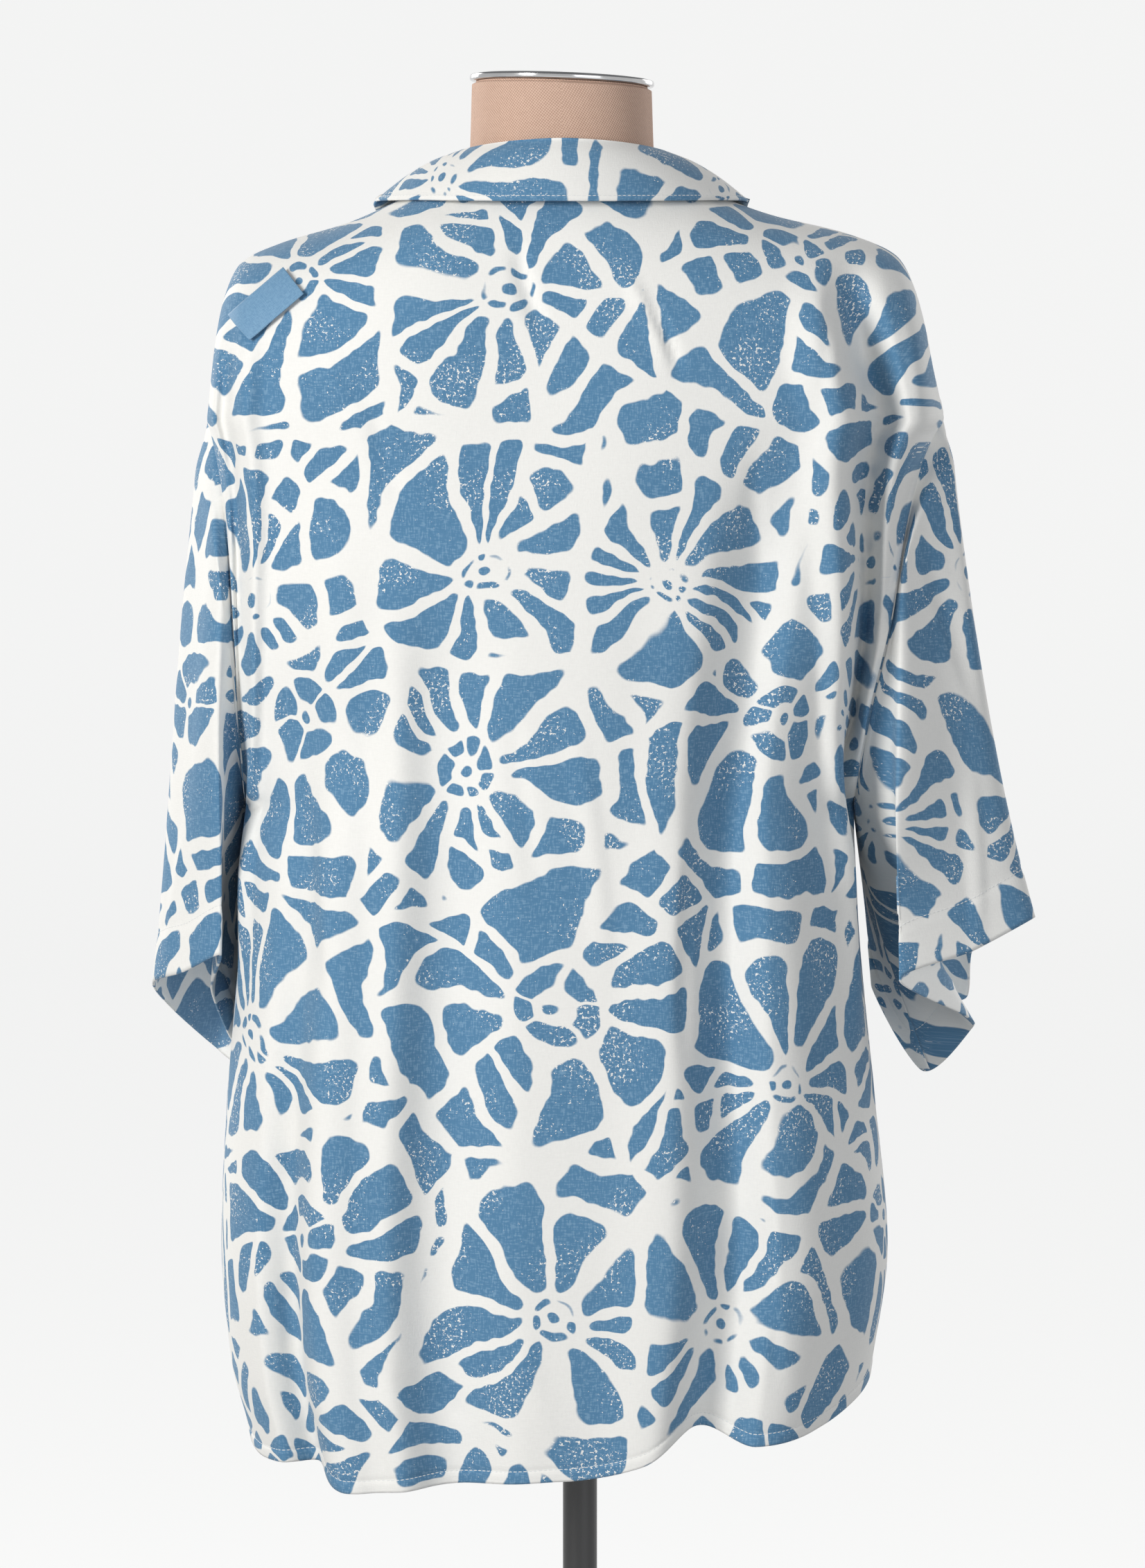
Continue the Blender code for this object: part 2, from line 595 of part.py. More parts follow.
def collar_front_row(f, side):
    """The same three, with the fall's points, on the front: f runs from the shoulder seam to the end."""
    place = side * (NECK_SHARE + (COLLAR_END_PLACE - NECK_SHARE) * f)
    top = front_top(np.array(place))
    neck = panel_point(np.array(place), top - 0.0002, top, False)
    seam_side, fold_side, edge_side = collar_back_row(math.pi / 2, side)
    in_x = -side * (0.0038 - 0.0020 * f)
    seam = neck + np.array([in_x, 0.0005 * f, 0.0005])
    roll = neck + np.array([in_x * 0.4, -0.0030 * f, 0.0030 + 0.0125 * (1 - f) ** 1.5])
    fold = fold_side * (1 - ramp(f, 0.0, 0.45)) + roll * ramp(f, 0.0, 0.45)
    fold[1] = min(fold[1], seam[1] + 0.004)
    reach = ramp(f, 0.0, 0.9)
    corner_x = CENTRE_X + side * COLLAR_POINT_X
    x = edge_side[0] + (corner_x - edge_side[0]) * reach
    z = edge_side[2] + (COLLAR_POINT_HEIGHT - edge_side[2]) * (0.35 * f + 0.65 * f * f)
    fall = []
    for row in FALL:
        at_x = fold[0] + (x - fold[0]) * row.share
        at_z = fold[2] + (z - fold[2]) * row.share
        lift = LAY_GAP + COLLAR_CLOTH + 0.0016 + 0.0060 * (1 - row.share) * (1 - 0.5 * f)
        laid = off_panel(at_x, at_z, False, lift)
        straight = fold + (edge_side - fold) * row.share + np.array([0, 0, row.swell])
        blend = ramp(f, 0.0, 0.35)
        fall.append(straight * (1 - blend) + laid * blend)
    return seam, fold, fall


def collar():
    grid = []
    for place in np.linspace(-1, 1, COLLAR_ROWS):
        side = 1 if place >= 0 else -1
        if abs(place) <= BACK_SHARE:
            seam, fold, edge = collar_back_row(abs(place) / BACK_SHARE * math.pi / 2, side)
            fall = [fold + (edge - fold) * r.share + np.array([0, 0, r.swell]) for r in FALL]
        else:
            seam, fold, fall = collar_front_row((abs(place) - BACK_SHARE) / (1 - BACK_SHARE), side)
        rise = fold - seam
        out = fall[-1] - fold
        out = np.array([out[0], out[1], 0.0]) / np.linalg.norm(out[:2])
        crown = fold + np.array([0, 0, 0.0010]) + out * 0.0020
        grid.append([seam, seam + rise * 0.5, fold - rise * 0.05, crown, *fall])
    wall("collar", np.array(grid), COLLAR_CLOTH, "printed_cloth", -1)


def lapel(name, side):
    """The top of a front's edge, turned back below the collar."""
    grid = []
    for t in np.linspace(0, 1, 7):
        height = LAPEL_TOP + (BREAK_HEIGHT + 0.006 - LAPEL_TOP) * t
        roll_x = 0.036 - 0.030 * t
        tip = 0.034 * (1 - t) ** 0.8 + 0.006
        row = []
        for s in np.linspace(0, 1, 5):
            x = CENTRE_X + side * (roll_x + tip * s)
            z = height - 0.010 * s * (1 - t) - 0.002
            lift = LAY_GAP + CLOTH * 2 + 0.0030 + 0.0020 * math.sin(math.pi * s)
            row.append(off_panel(x, z, False, lift))
        grid.append(row)
    wall(name, np.array(grid), CLOTH, "printed_cloth", side)


# ---- small pieces -----------------------------------------------------------------------------------
def buttons():
    lift = BUTTON_THICKNESS / 2
    for number in range(BUTTON_COUNT):
        height = BUTTON_TOP - number * BUTTON_PITCH
        spot = off_panel(CENTRE_X, height, False, 0.0)
        spot[1] -= CLOTH + LAY_GAP + 0.0018 + lift
        profile = [
            (BUTTON_RADIUS * 0.86, -lift),
            (BUTTON_RADIUS, 0.0),
            (BUTTON_RADIUS * 0.86, lift),
            (BUTTON_RADIUS * 0.62, lift * 0.55),
        ]
        made = turned(f"button_{number + 1}", profile, (0.0, 0.0), 14, "button")
        made.location = spot
        made.rotation_euler = (math.pi / 2, 0, 0)


def label():
    """A plain woven tab laid slantwise on the back of the left shoulder."""
    high, low = np.array(LABEL_HIGH), np.array(LABEL_LOW)
    along = low - high
    across = np.array([along[1], -along[0]]) / np.hypot(*along) * LABEL_WIDTH
    rows = []
    for s in np.linspace(0, 1, 7):
        row = []
        for t in np.linspace(0, 1, 4):
            x, z = high + along * s + across * t
            row.append(off_panel(x, z, True, LAY_GAP + LABEL_CLOTH))
        rows.append(row)
    wall("shoulder_label", np.array(rows), LABEL_CLOTH, "label_tape", 1)


# ---- the dress form and its stand ---------------------------------------------------------------------
def dress_form():
    segments = 32
    heights = np.concatenate(
        [np.linspace(TORSO_BOTTOM, 1.33, 17), np.linspace(1.355, 1.44, 9), [NECK_TOP]]
    )
    angles = np.linspace(0, 2 * math.pi, segments, endpoint=False)
    rings = []
    for height in heights:
        half_width = table(FORM, "half_width", height)
        power = 2 / 2.15
        sine, cosine = np.sin(angles), np.cos(angles)
        reach = np.where(cosine >= 0, table(FORM, "back", height), -table(FORM, "front", height))
        x = CENTRE_X + half_width * np.sign(sine) * np.abs(sine) ** power
        y = reach * np.sign(cosine) * np.abs(cosine) ** power
        tilt = CAP_TILT * (x - CENTRE_X) * ramp(height, 1.45, NECK_TOP)
        rings.append(np.stack([x, y, height + tilt], axis=1))
    points = np.concatenate(rings)
    last = (len(rings) - 1) * segments
    faces = [tuple(range(segments)), tuple(reversed(range(last, last + segments)))]
    for level in range(len(rings) - 1):
        for i, k in face_ring(segments):
            low, high = level * segments, (level + 1) * segments
            faces.append((low + i, high + i, high + k, low + k))
    make_object("dress_form", points, outward(points, faces), "form_linen")


def neck_cap():
    profile = [
        (CAP_RADIUS - 0.0010, 0.0),
        (CAP_RADIUS, 0.0010),
        (CAP_RADIUS, CAP_THICKNESS - 0.0012),
        (CAP_RADIUS - 0.0012, CAP_THICKNESS),
    ]
    made = turned("neck_cap", profile, (0.0, 0.0), 48, "chrome")
    made.location = (CENTRE_X, 0.0, NECK_TOP + PIECE_GAP)
    made.rotation_euler = (0.0, -math.atan(CAP_TILT), 0.0)


def stand():
    flange_top = TORSO_BOTTOM - PIECE_GAP
    flange_bottom = flange_top - FLANGE_THICKNESS
    flange = [(FLANGE_RADIUS * 0.6, flange_bottom), (FLANGE_RADIUS, flange_bottom + 0.004)]
    flange.append((FLANGE_RADIUS, flange_top))
    turned("form_flange", flange, (0.0, 0.0), 32, "black_metal")
    pole_bottom = BASE_THICKNESS + 0.012 + PIECE_GAP
    pole = [(POLE_RADIUS, pole_bottom), (POLE_RADIUS, flange_bottom - PIECE_GAP)]
    turned("pole", pole, (0.0, 0.0), 24, "black_metal")
    hub = 0.030
    base = [
        (BASE_RADIUS - 0.002, 0.0),
        (BASE_RADIUS, 0.002),
        (BASE_RADIUS, BASE_THICKNESS * 0.7),
        (BASE_RADIUS - 0.004, BASE_THICKNESS),
        (hub, BASE_THICKNESS),
        (hub * 0.7, BASE_THICKNESS + 0.012),
    ]
    turned("stand_base", base, (0.0, 0.0), 64, "black_metal")


def finishes():
    for name, (colour, roughness, metallic) in FINISHES.items():
        material = bpy.data.materials.new(name)
        material.use_nodes = True
        shader = material.node_tree.nodes["Principled BSDF"]
        shader.inputs["Base Color"].default_value = (*colour, 1.0)
        shader.inputs["Roughness"].default_value = roughness
        shader.inputs["Metallic"].default_value = metallic


def main():
    for old in list(bpy.data.objects):
        bpy.data.objects.remove(old)
    finishes()
    back_panel()
    front_panel("front_left", 1, 0.0)
    front_panel("front_right", -1, CLOTH + LAY_GAP)
    sleeve("sleeve_left", 1, LEFT_SLEEVE_HEM, LEFT_FLARE, LEFT_ROLLS)
    sleeve("sleeve_right", -1, RIGHT_SLEEVE_HEM, RIGHT_FLARE, RIGHT_ROLLS)
    collar()
    lapel("lapel_left", 1)
    lapel("lapel_right", -1)
    buttons()
    label()
    dress_form()
    neck_cap()
    stand()


main()
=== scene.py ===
import math

import bpy
import numpy as np
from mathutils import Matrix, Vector


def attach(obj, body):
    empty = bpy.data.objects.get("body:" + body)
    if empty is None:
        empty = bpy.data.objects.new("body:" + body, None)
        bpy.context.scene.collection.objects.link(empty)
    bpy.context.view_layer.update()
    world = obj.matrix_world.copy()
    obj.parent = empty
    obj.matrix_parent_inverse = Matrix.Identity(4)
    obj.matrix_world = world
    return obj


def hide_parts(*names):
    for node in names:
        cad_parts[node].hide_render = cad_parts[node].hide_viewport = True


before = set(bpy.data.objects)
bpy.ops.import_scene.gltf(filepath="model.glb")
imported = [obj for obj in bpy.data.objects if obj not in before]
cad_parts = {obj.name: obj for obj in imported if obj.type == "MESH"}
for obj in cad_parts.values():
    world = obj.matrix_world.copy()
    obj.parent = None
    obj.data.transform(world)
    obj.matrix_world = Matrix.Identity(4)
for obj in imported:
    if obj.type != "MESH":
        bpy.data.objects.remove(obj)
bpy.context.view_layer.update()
print("frame loaded,", len(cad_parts), "solids")

# Metres, +Z up. +Y is the back of the shirt, +X the wearer's left.


def table(names, rows):
    return {name: np.array(values, float) for name, values in zip(names.split(), zip(*rows))}


# a smooth curve through a table's points that never overshoots them
def follow(places, values, at):
    at = np.clip(np.asarray(at, float), places[0], places[-1])
    steps = np.diff(places)
    slopes = np.diff(values) / steps
    tangents = np.zeros(len(values))
    before, after = slopes[:-1], slopes[1:]
    sameWay = before * after > 0
    tangents[1:-1] = np.where(sameWay, 2 * before * after / np.where(sameWay, before + after, 1.0), 0.0)
    tangents[0], tangents[-1] = slopes[0], slopes[-1]
    i = np.clip(np.searchsorted(places, at, side="right") - 1, 0, len(steps) - 1)
    t = (at - places[i]) / steps[i]
    start = (1 + 2 * t) * (1 - t) ** 2 * values[i] + t * (1 - t) ** 2 * steps[i] * tangents[i]
    end = t * t * (3 - 2 * t) * values[i + 1] + t * t * (t - 1) * steps[i] * tangents[i + 1]
    return start + end


def ramp(value, low, high):
    t = np.clip((value - low) / (high - low), 0.0, 1.0)
    return t * t * (3 - 2 * t)


def bump(distance):
    return np.where(np.abs(distance) < 1, 0.5 + 0.5 * np.cos(math.pi * distance), 0.0)


# how cloth is cut and how thick it shows
shirt = {
    "thickness": 0.0008,
    "hemThickness": 0.0015,
    "centreX": 0.011,  # the form leans to the wearer's left of its pole
    "squareness": 2.6,
    "shoulderSlope": 0.80,
    "armholeTop": 1.292,
    "underarm": 1.060,
    "armholeBack": 0.062,
    "armholeFront": 0.060,
    "neckShare": 0.25,
    "neckHalfWidth": 0.075,
    "neckBack": 0.066,
    "neckBackHeight": 1.427,
    "neckSideHeight": 1.433,
    "frontOverlap": 0.018,
    "breakHeight": 1.285,
    "lapelTop": 1.352,
    "layGap": 0.0012,
    "hemDepth": 0.0075,
}
centreX = shirt["centreX"]

bodyTable = table("height left right back front", [
    (0.620, 0.193, -0.160, 0.136, -0.126),
    (0.680, 0.203, -0.171, 0.140, -0.132),
    (0.720, 0.213, -0.178, 0.141, -0.137),
    (0.790, 0.2185, -0.187, 0.141, -0.142),
    (0.880, 0.2145, -0.179, 0.139, -0.146),
    (1.000, 0.205, -0.168, 0.133, -0.150),
    (1.060, 0.203, -0.166, 0.130, -0.152),
    (1.110, 0.204, -0.172, 0.128, -0.152),
    (1.170, 0.207, -0.185, 0.127, -0.150),
    (1.225, 0.2105, -0.194, 0.125, -0.145),
    (1.262, 0.2160, -0.2035, 0.122, -0.138),
    (1.280, 0.2205, -0.2115, 0.120, -0.133),
    (1.292, 0.2240, -0.2190, 0.119, -0.130),
    (1.330, 0.2240, -0.2190, 0.113, -0.117),
    (1.370, 0.2240, -0.2190, 0.104, -0.101),
    (1.400, 0.2240, -0.2190, 0.093, -0.086),
    (1.420, 0.2240, -0.2190, 0.080, -0.074),
    (1.440, 0.2240, -0.2190, 0.066, -0.062),
])

# the shoulder seam from the neck point to the dropped armhole
shoulderTable = table("share left leftHeight right rightHeight", [
    (0.00, 0.086, 1.433, -0.064, 1.433),
    (0.22, 0.135, 1.4105, -0.114, 1.4140),
    (0.42, 0.180, 1.397, -0.164, 1.401),
    (0.54, 0.2045, 1.384, -0.191, 1.388),
    (0.66, 0.2155, 1.357, -0.2035, 1.361),
    (0.83, 0.2205, 1.324, -0.2115, 1.325),
    (1.00, 0.2240, 1.292, -0.2190, 1.292),
])

# the hem's height round the body, from the right side seam to the left one
hemTable = table("place back front", [
    (-1.00, 0.716, 0.716), (-0.75, 0.704, 0.713), (-0.50, 0.690, 0.708), (-0.36, 0.6875, 0.705),
    (-0.215, 0.6985, 0.703), (-0.11, 0.679, 0.702), (0.00, 0.6695, 0.702), (0.24, 0.663, 0.700),
    (0.40, 0.660, 0.697), (0.53, 0.6705, 0.693), (0.75, 0.669, 0.687), (1.00, 0.678, 0.678),
])

# low and high end, place at each, half width, depth at each; a valley is negative
backFolds = [
    (0.55, 1.16, 0.395, 0.42, 0.13, 0.011, 0.006),
    (0.55, 0.98, 0.540, 0.53, 0.11, -0.026, -0.005),
    (0.55, 1.10, 0.265, 0.27, 0.08, 0.006, 0.004),
    (0.55, 1.12, 0.145, 0.16, 0.12, -0.018, -0.009),
    (0.55, 1.16, -0.110, -0.19, 0.11, 0.006, 0.004),
    (0.55, 1.20, -0.225, -0.32, 0.12, -0.024, -0.012),
    (0.55, 1.15, -0.420, -0.46, 0.16, 0.007, 0.004),
    (1.00, 1.32, -0.780, -0.405, 0.10, 0.008, 0.015),
    (1.05, 1.36, -0.850, -0.48, 0.10, -0.028, -0.030),
    (1.33, 1.36, -0.720, -0.70, 0.12, 0.006, 0.004),
    (1.02, 1.30, 0.840, 0.63, 0.08, 0.006, 0.007),
    (1.12, 1.33, 0.900, 0.72, 0.07, -0.005, -0.008),
    (1.33, 1.36, 0.830, 0.81, 0.09, 0.005, 0.003),
]
frontFolds = [
    (0.55, 1.10, 0.300, 0.32, 0.16, -0.014, -0.006),
    (0.55, 1.00, 0.560, 0.55, 0.15, 0.010, 0.004),
    (0.55, 1.10, -0.330, -0.30, 0.17, -0.013, -0.007),
    (0.55, 1.00, -0.600, -0.58, 0.16, 0.008, 0.004),
    (1.16, 1.32, -0.780, -0.60, 0.13, -0.005, -0.009),
    (1.16, 1.32, 0.780, 0.60, 0.13, -0.005, -0.009),
]
foldFade = 0.10

# smaller creases: x and height of each end, sideways bend, half width on each side, depth
backCreases = [
    (0.036, 1.397, 0.018, 1.340, 0.003, 0.011, 0.005, -0.0040),
    (-0.022, 1.378, -0.052, 1.318, -0.003, 0.006, 0.007, 0.0032),
    (-0.037, 1.360, -0.060, 1.315, -0.002, 0.008, 0.005, -0.0030),
    (0.120, 1.300, 0.095, 1.235, 0.006, 0.012, 0.008, -0.0020),
    (0.150, 1.330, 0.112, 1.270, 0.004, 0.012, 0.010, 0.0018),
    (-0.150, 1.375, -0.138, 1.250, 0.003, 0.010, 0.007, -0.0022),
    (-0.104, 1.280, -0.108, 1.180, 0.003, 0.012, 0.008, -0.0018),
    (0.040, 1.130, 0.020, 1.010, 0.004, 0.014, 0.009, -0.0018),
    (0.006, 1.120, -0.014, 0.960, -0.004, 0.012, 0.010, 0.0015),
    (-0.070, 1.060, -0.062, 0.900, 0.004, 0.010, 0.007, -0.0022),
    (0.160, 1.080, 0.150, 0.930, 0.004, 0.012, 0.009, -0.0020),
    (0.120, 0.740, 0.060, 0.705, 0.004, 0.012, 0.008, -0.0022),
    (0.172, 0.800, 0.165, 0.700, 0.003, 0.010, 0.008, -0.0022),
    (0.036, 0.760, 0.010, 0.690, 0.004, 0.010, 0.010, 0.0018),
    (-0.110, 0.840, -0.118, 0.720, 0.003, 0.012, 0.008, -0.0020),
]
frontCreases = [
    (0.150, 1.300, 0.080, 1.230, 0.004, 0.014, 0.010, 0.0016),
    (-0.150, 1.300, -0.070, 1.240, -0.004, 0.012, 0.014, 0.0016),
    (0.120, 0.860, 0.050, 0.800, 0.003, 0.014, 0.010, -0.0014),
]


def shoulderPoint(place):
    share = (np.abs(place) - shirt["neckShare"]) / (1 - shirt["neckShare"])
    across, height = (
        np.where(
            place >= 0,
            follow(shoulderTable["share"], shoulderTable[left], share),
            follow(shoulderTable["share"], shoulderTable[right], share),
        )
        for left, right in (("left", "right"), ("leftHeight", "rightHeight"))
    )
    inNeck = np.abs(place) < shirt["neckShare"]
    neckX = centreX + shirt["neckHalfWidth"] * place / shirt["neckShare"]
    return np.where(inNeck, neckX, across), np.where(inNeck, shirt["neckSideHeight"], height)


def body(name, height):
    return follow(bodyTable["height"], bodyTable[name], height)


# x of a column at a height and its share of the reach: spaced round the body low down, evenly
# beside the armholes and along the shoulder above
def bodyX(place, height):
    reach = np.where(place >= 0, body("left", height), body("right", height)) - centreX
    roundBody = np.abs(np.sin(place * math.pi / 2)) ** (2 / shirt["squareness"])
    beside = ramp(height, 0.80, 1.17)
    topX, _ = shoulderPoint(place)
    endX = np.where(place >= 0, bodyTable["left"][-1], bodyTable["right"][-1])
    along = (topX - centreX) / (endX - centreX)
    lean = ramp(height, 1.13, shirt["armholeTop"])
    share = (roundBody * (1 - beside) + np.abs(place) * beside) * (1 - lean) + along * lean
    share = np.clip(share, 0.0, 1.0)
    return centreX + reach * share, share


def roundPlace(place, share):
    return np.sign(place) * np.arcsin(share ** (shirt["squareness"] / 2)) * 2 / math.pi


# the armhole sets in more gently away from its edge
def armholeDepth(height, top, halfDepth, place):
    up = np.clip((height - shirt["underarm"]) / (top - shirt["underarm"]), 0.0, 1.0)
    up = up ** (1 + 2 * (1 - np.clip(np.abs(place), 0.0, 1.0)))
    return halfDepth * 2 * np.sqrt(up * (1 - up))


def neckStart(place):
    across = np.clip(np.abs(place) / shirt["neckShare"], 0.0, 1.0)
    return np.sqrt(1 - across**2)


def foldLift(folds, place, height):
    total = np.zeros(np.broadcast(place, height).shape)
    for low, high, lowPlace, highPlace, halfWidth, lowDepth, highDepth in folds:
        t = np.clip((height - low) / (high - low), 0.0, 1.0)
        at = lowPlace + (highPlace - lowPlace) * t
        depth = lowDepth + (highDepth - lowDepth) * t
        alive = ramp(height, low - foldFade, low) * (1 - ramp(height, high, high + foldFade))
        total = total + depth * alive * bump((place - at) / halfWidth)
    return total


# a point of the back or of a front, at a column's place and a height
def panelPoint(place, height, top, isBack):
    x, share = bodyX(place, height)
    reach = body("back" if isBack else "front", height)
    edge = armholeDepth(height, top, shirt["armholeBack"] if isBack else -shirt["armholeFront"], place)
    beside = ramp(height, shirt["underarm"] - 0.05, shirt["underarm"] + 0.06)
    second = 1 / shirt["squareness"] + (shirt["shoulderSlope"] - 1 / shirt["squareness"]) * beside
    outline = np.clip(1 - share ** shirt["squareness"], 0.0, 1.0) ** second
    radius = 0.035 + 0.045 * (1 - np.clip(np.abs(place), 0.0, 1.0))
    start = neckStart(place) if isBack else np.sqrt(neckStart(place))
    t = np.clip((top - height) / radius, 0.0, 1.0)
    rounding = np.sqrt(np.clip(1 - (1 - start**2) * (1 - t) ** 2, 0.0, 1.0))
    y = edge + (reach - edge) * outline * rounding
    depth = foldLift(backFolds if isBack else frontFolds, roundPlace(place, share), height)
    depth = depth * ramp(top - height, 0.0, 0.09)
    lean = np.clip(np.abs(place), 0.0, 1.0) ** 2.2 * 0.8 * (1 - beside)
    x = x + depth * np.sin(lean * math.pi / 2) * np.sign(place)
    y = y + depth * np.cos(lean * math.pi / 2) * (1.0 if isBack else -1.0)
    return np.stack(np.broadcast_arrays(x, y, height), axis=-1)


def backTop(place):
    _, height = shoulderPoint(place)
    rise = shirt["neckSideHeight"] - shirt["neckBackHeight"]
    inNeck = shirt["neckBackHeight"] + rise * (place / shirt["neckShare"]) ** 2
    return np.where(np.abs(place) < shirt["neckShare"], inNeck, height)


# the shoulder seam, then the neckline's straight run down to the break of the lapels
def frontTop(place):
    _, height = shoulderPoint(place)
    across = np.clip(np.abs(place) / shirt["neckShare"], 0.0, 1.0)
    inNeck = shirt["breakHeight"] + (shirt["neckSideHeight"] - shirt["breakHeight"]) * across**1.25
    return np.where(np.abs(place) < shirt["neckShare"], inNeck, height)


def placeAt(x, height):
    columns = np.linspace(-1, 1, 401)
    spots, _ = bodyX(columns, np.full(columns.shape, height))
    return float(np.interp(x, spots, columns))


# a point lifted off the outside of a panel, along the panel's own normal
def offPanel(x, height, isBack, lift):
    place = np.clip(placeAt(x, height), -0.98, 0.98)
    top = backTop if isBack else frontTop
    spot, across, down = (
        panelPoint(np.array(a), np.array(h), top(np.array(a)), isBack)
        for a, h in ((place, height), (place + 0.004, height), (place, height - 0.004))
    )
    normal = np.cross(across - spot, down - spot) * (1 if isBack else -1)
    return spot + normal / np.linalg.norm(normal) * lift


def gridNormals(points):
    normals = np.cross(np.gradient(points, axis=0), np.gradient(points, axis=1))
    lengths = np.linalg.norm(normals, axis=2, keepdims=True)
    return normals / np.maximum(lengths, 1e-12)


# soft troughs and ridges along short lines; a and b are the points' own flat coordinates
def creaseLift(a, b, creases):
    lift = np.zeros(a.shape)
    for startA, startB, endA, endB, bend, before, after, depth in creases:
        runA, runB = endA - startA, endB - startB
        length = math.hypot(runA, runB)
        along = ((a - startA) * runA + (b - startB) * runB) / length**2
        off = ((a - startA) * runB - (b - startB) * runA) / length
        off = off + bend * (1 - (2 * along - 1) ** 2)
        width = np.where(off < 0, before, after)
        taper = ramp(along, -0.05, 0.35) * (1 - ramp(along, 0.65, 1.05))
        lift = lift + depth * bump(off / width) * taper
    return lift


# the slight unevenness of hanging cloth, from a few slow waves
def slackLift(a, b, amount, seed):
    rng = np.random.default_rng(seed)
    lift = np.zeros(a.shape)
    for _ in range(14):
        angle, turns = rng.uniform(-0.5, 0.5), rng.uniform(10, 30)
        phase, weight = rng.uniform(0, 2 * math.pi), rng.uniform(0.3, 1.0)
        lift += weight * np.sin((a * math.cos(angle) + b * math.sin(angle) * 0.6) * turns * 2 + phase)
    return lift * amount / 4


# distance along the cloth in metres, across the columns and along them
def clothLengths(grid):
    across = np.linalg.norm(np.diff(grid, axis=0), axis=2)
    along = np.linalg.norm(np.diff(grid, axis=1), axis=2)
    u = np.concatenate([np.zeros((1, grid.shape[1])), np.cumsum(across, axis=0)], axis=0)
    v = np.concatenate([np.zeros((grid.shape[0], 1)), np.cumsum(along, axis=1)], axis=1)
    return u, v


# where each point lies on the cloth's print: level distance across, and height with the reach
def printPlace(grid, zeroColumn, side, startAcross):
    level = grid[..., :2]
    reach = len(level) // printLook["calmReach"]
    window = np.hanning(2 * reach + 3)[1:-1]
    padded = np.concatenate([2 * level[:1] - level[reach:0:-1], level,
                             2 * level[-1:] - level[-2:-reach - 2:-1]])
    calm = sum(w * padded[k : k + len(level)] for k, w in enumerate(window / window.sum()))
    # mostly the length without its folds, so that the print isn't sheared where a fold dies away
    levelSteps = (printLook["foldShare"] * np.linalg.norm(np.diff(level, axis=0), axis=2)
                  + (1 - printLook["foldShare"]) * np.linalg.norm(np.diff(calm, axis=0), axis=2))
    u = np.concatenate([np.zeros((1, grid.shape[1])), np.cumsum(levelSteps, axis=0)], axis=0)
    deep, high = np.diff(grid[..., 1], axis=1), np.diff(grid[..., 2], axis=1)
    # where the cloth lies nearly level
    onShoulder = np.clip((grid[:, 1:, 2] - printLook["shoulderFrom"]) / printLook["shoulderBlend"], 0, 1)
    rise = np.sqrt(high ** 2 + onShoulder * deep ** 2) * np.sign(high)
    v = np.concatenate([np.zeros((grid.shape[0], 1)), np.cumsum(rise, axis=1)], axis=1)
    return np.stack([side * (u - u[zeroColumn : zeroColumn + 1]) + startAcross, v + grid[:, :1, 2]], axis=-1)


# a smooth grid through a coarse one
def refine(points, count, axis):
    points = np.moveaxis(points, axis, 0)
    at = np.linspace(0, len(points) - 1, count)
    i = np.minimum(at.astype(int), len(points) - 2)
    t = (at - i).reshape((-1,) + (1,) * (points.ndim - 1))
    padded = np.concatenate([2 * points[:1] - points[1:2], points, 2 * points[-1:] - points[-2:-1]])
    p0, p1, p2, p3 = (padded[i + k] for k in range(4))
    curve = p1 + 0.5 * t * (p2 - p0 + t * (2 * p0 - 5 * p1 + 4 * p2 - p3 + t * (3 * (p1 - p2) + p3 - p0)))
    return np.moveaxis(curve, 0, axis)


def addObject(name, data):
    holder = bpy.data.objects.new(name, data)
    bpy.context.scene.collection.objects.link(holder)
    return holder


# a thin cloth sheet from a grid of points; facing is the side of the grid that shows
def clothPiece(name, grid, facing, uv, materials, thickness, hem=None):
    rows, columns = grid.shape[:2]
    index = np.arange(rows * columns).reshape(rows, columns)
    quads = [index[:-1, :-1], index[1:, :-1], index[1:, 1:], index[:-1, 1:]]
    quads = np.stack(quads, axis=-1).reshape(-1, 4)
    if facing < 0:
        quads = quads[:, ::-1]
    mesh = bpy.data.meshes.new(name)
    mesh.from_pydata(grid.reshape(-1, 3).tolist(), [], quads.tolist())
    layer = mesh.uv_layers.new(name="cloth")
    layer.data.foreach_set("uv", uv.reshape(-1, 2)[quads.reshape(-1)].astype(np.float32).ravel())
    for material in materials:
        mesh.materials.append(material)
    mesh.shade_smooth()
    piece = addObject(name, mesh)
    solid = piece.modifiers.new("cloth thickness", "SOLIDIFY")
    solid.thickness = thickness
    solid.offset = -1
    solid.material_offset = len(materials) - 1
    solid.material_offset_rim = 0
    if hem is not None:
        group = piece.vertex_groups.new(name="hem")
        base = shirt["thickness"] / shirt["hemThickness"]
        levels = np.round(base + (1 - base) * hem.ravel(), 2)
        for level in np.unique(levels):
            group.add(np.nonzero(levels == level)[0].tolist(), float(level), "REPLACE")
        solid.vertex_group = "hem"
        solid.thickness = shirt["hemThickness"]
    return piece


def clothArea(grid):
    a = grid[1:, :-1] - grid[:-1, :-1]
    b = grid[:-1, 1:] - grid[:-1, :-1]
    return float(np.linalg.norm(np.cross(a, b), axis=2).sum())


# all of it rides with the stand; a piece that stands for a solid names it
def settle(piece, node=None):
    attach(piece, "root")
    if node:
        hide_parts(node)


# works out a cloth piece's flat width, length and area, and does nothing more with them
def declareSheet(grid, uv):
    width, length = (float(uv[..., k].max() - uv[..., k].min()) for k in (0, 1))
    area = min(clothArea(grid), 0.999 * width * length)


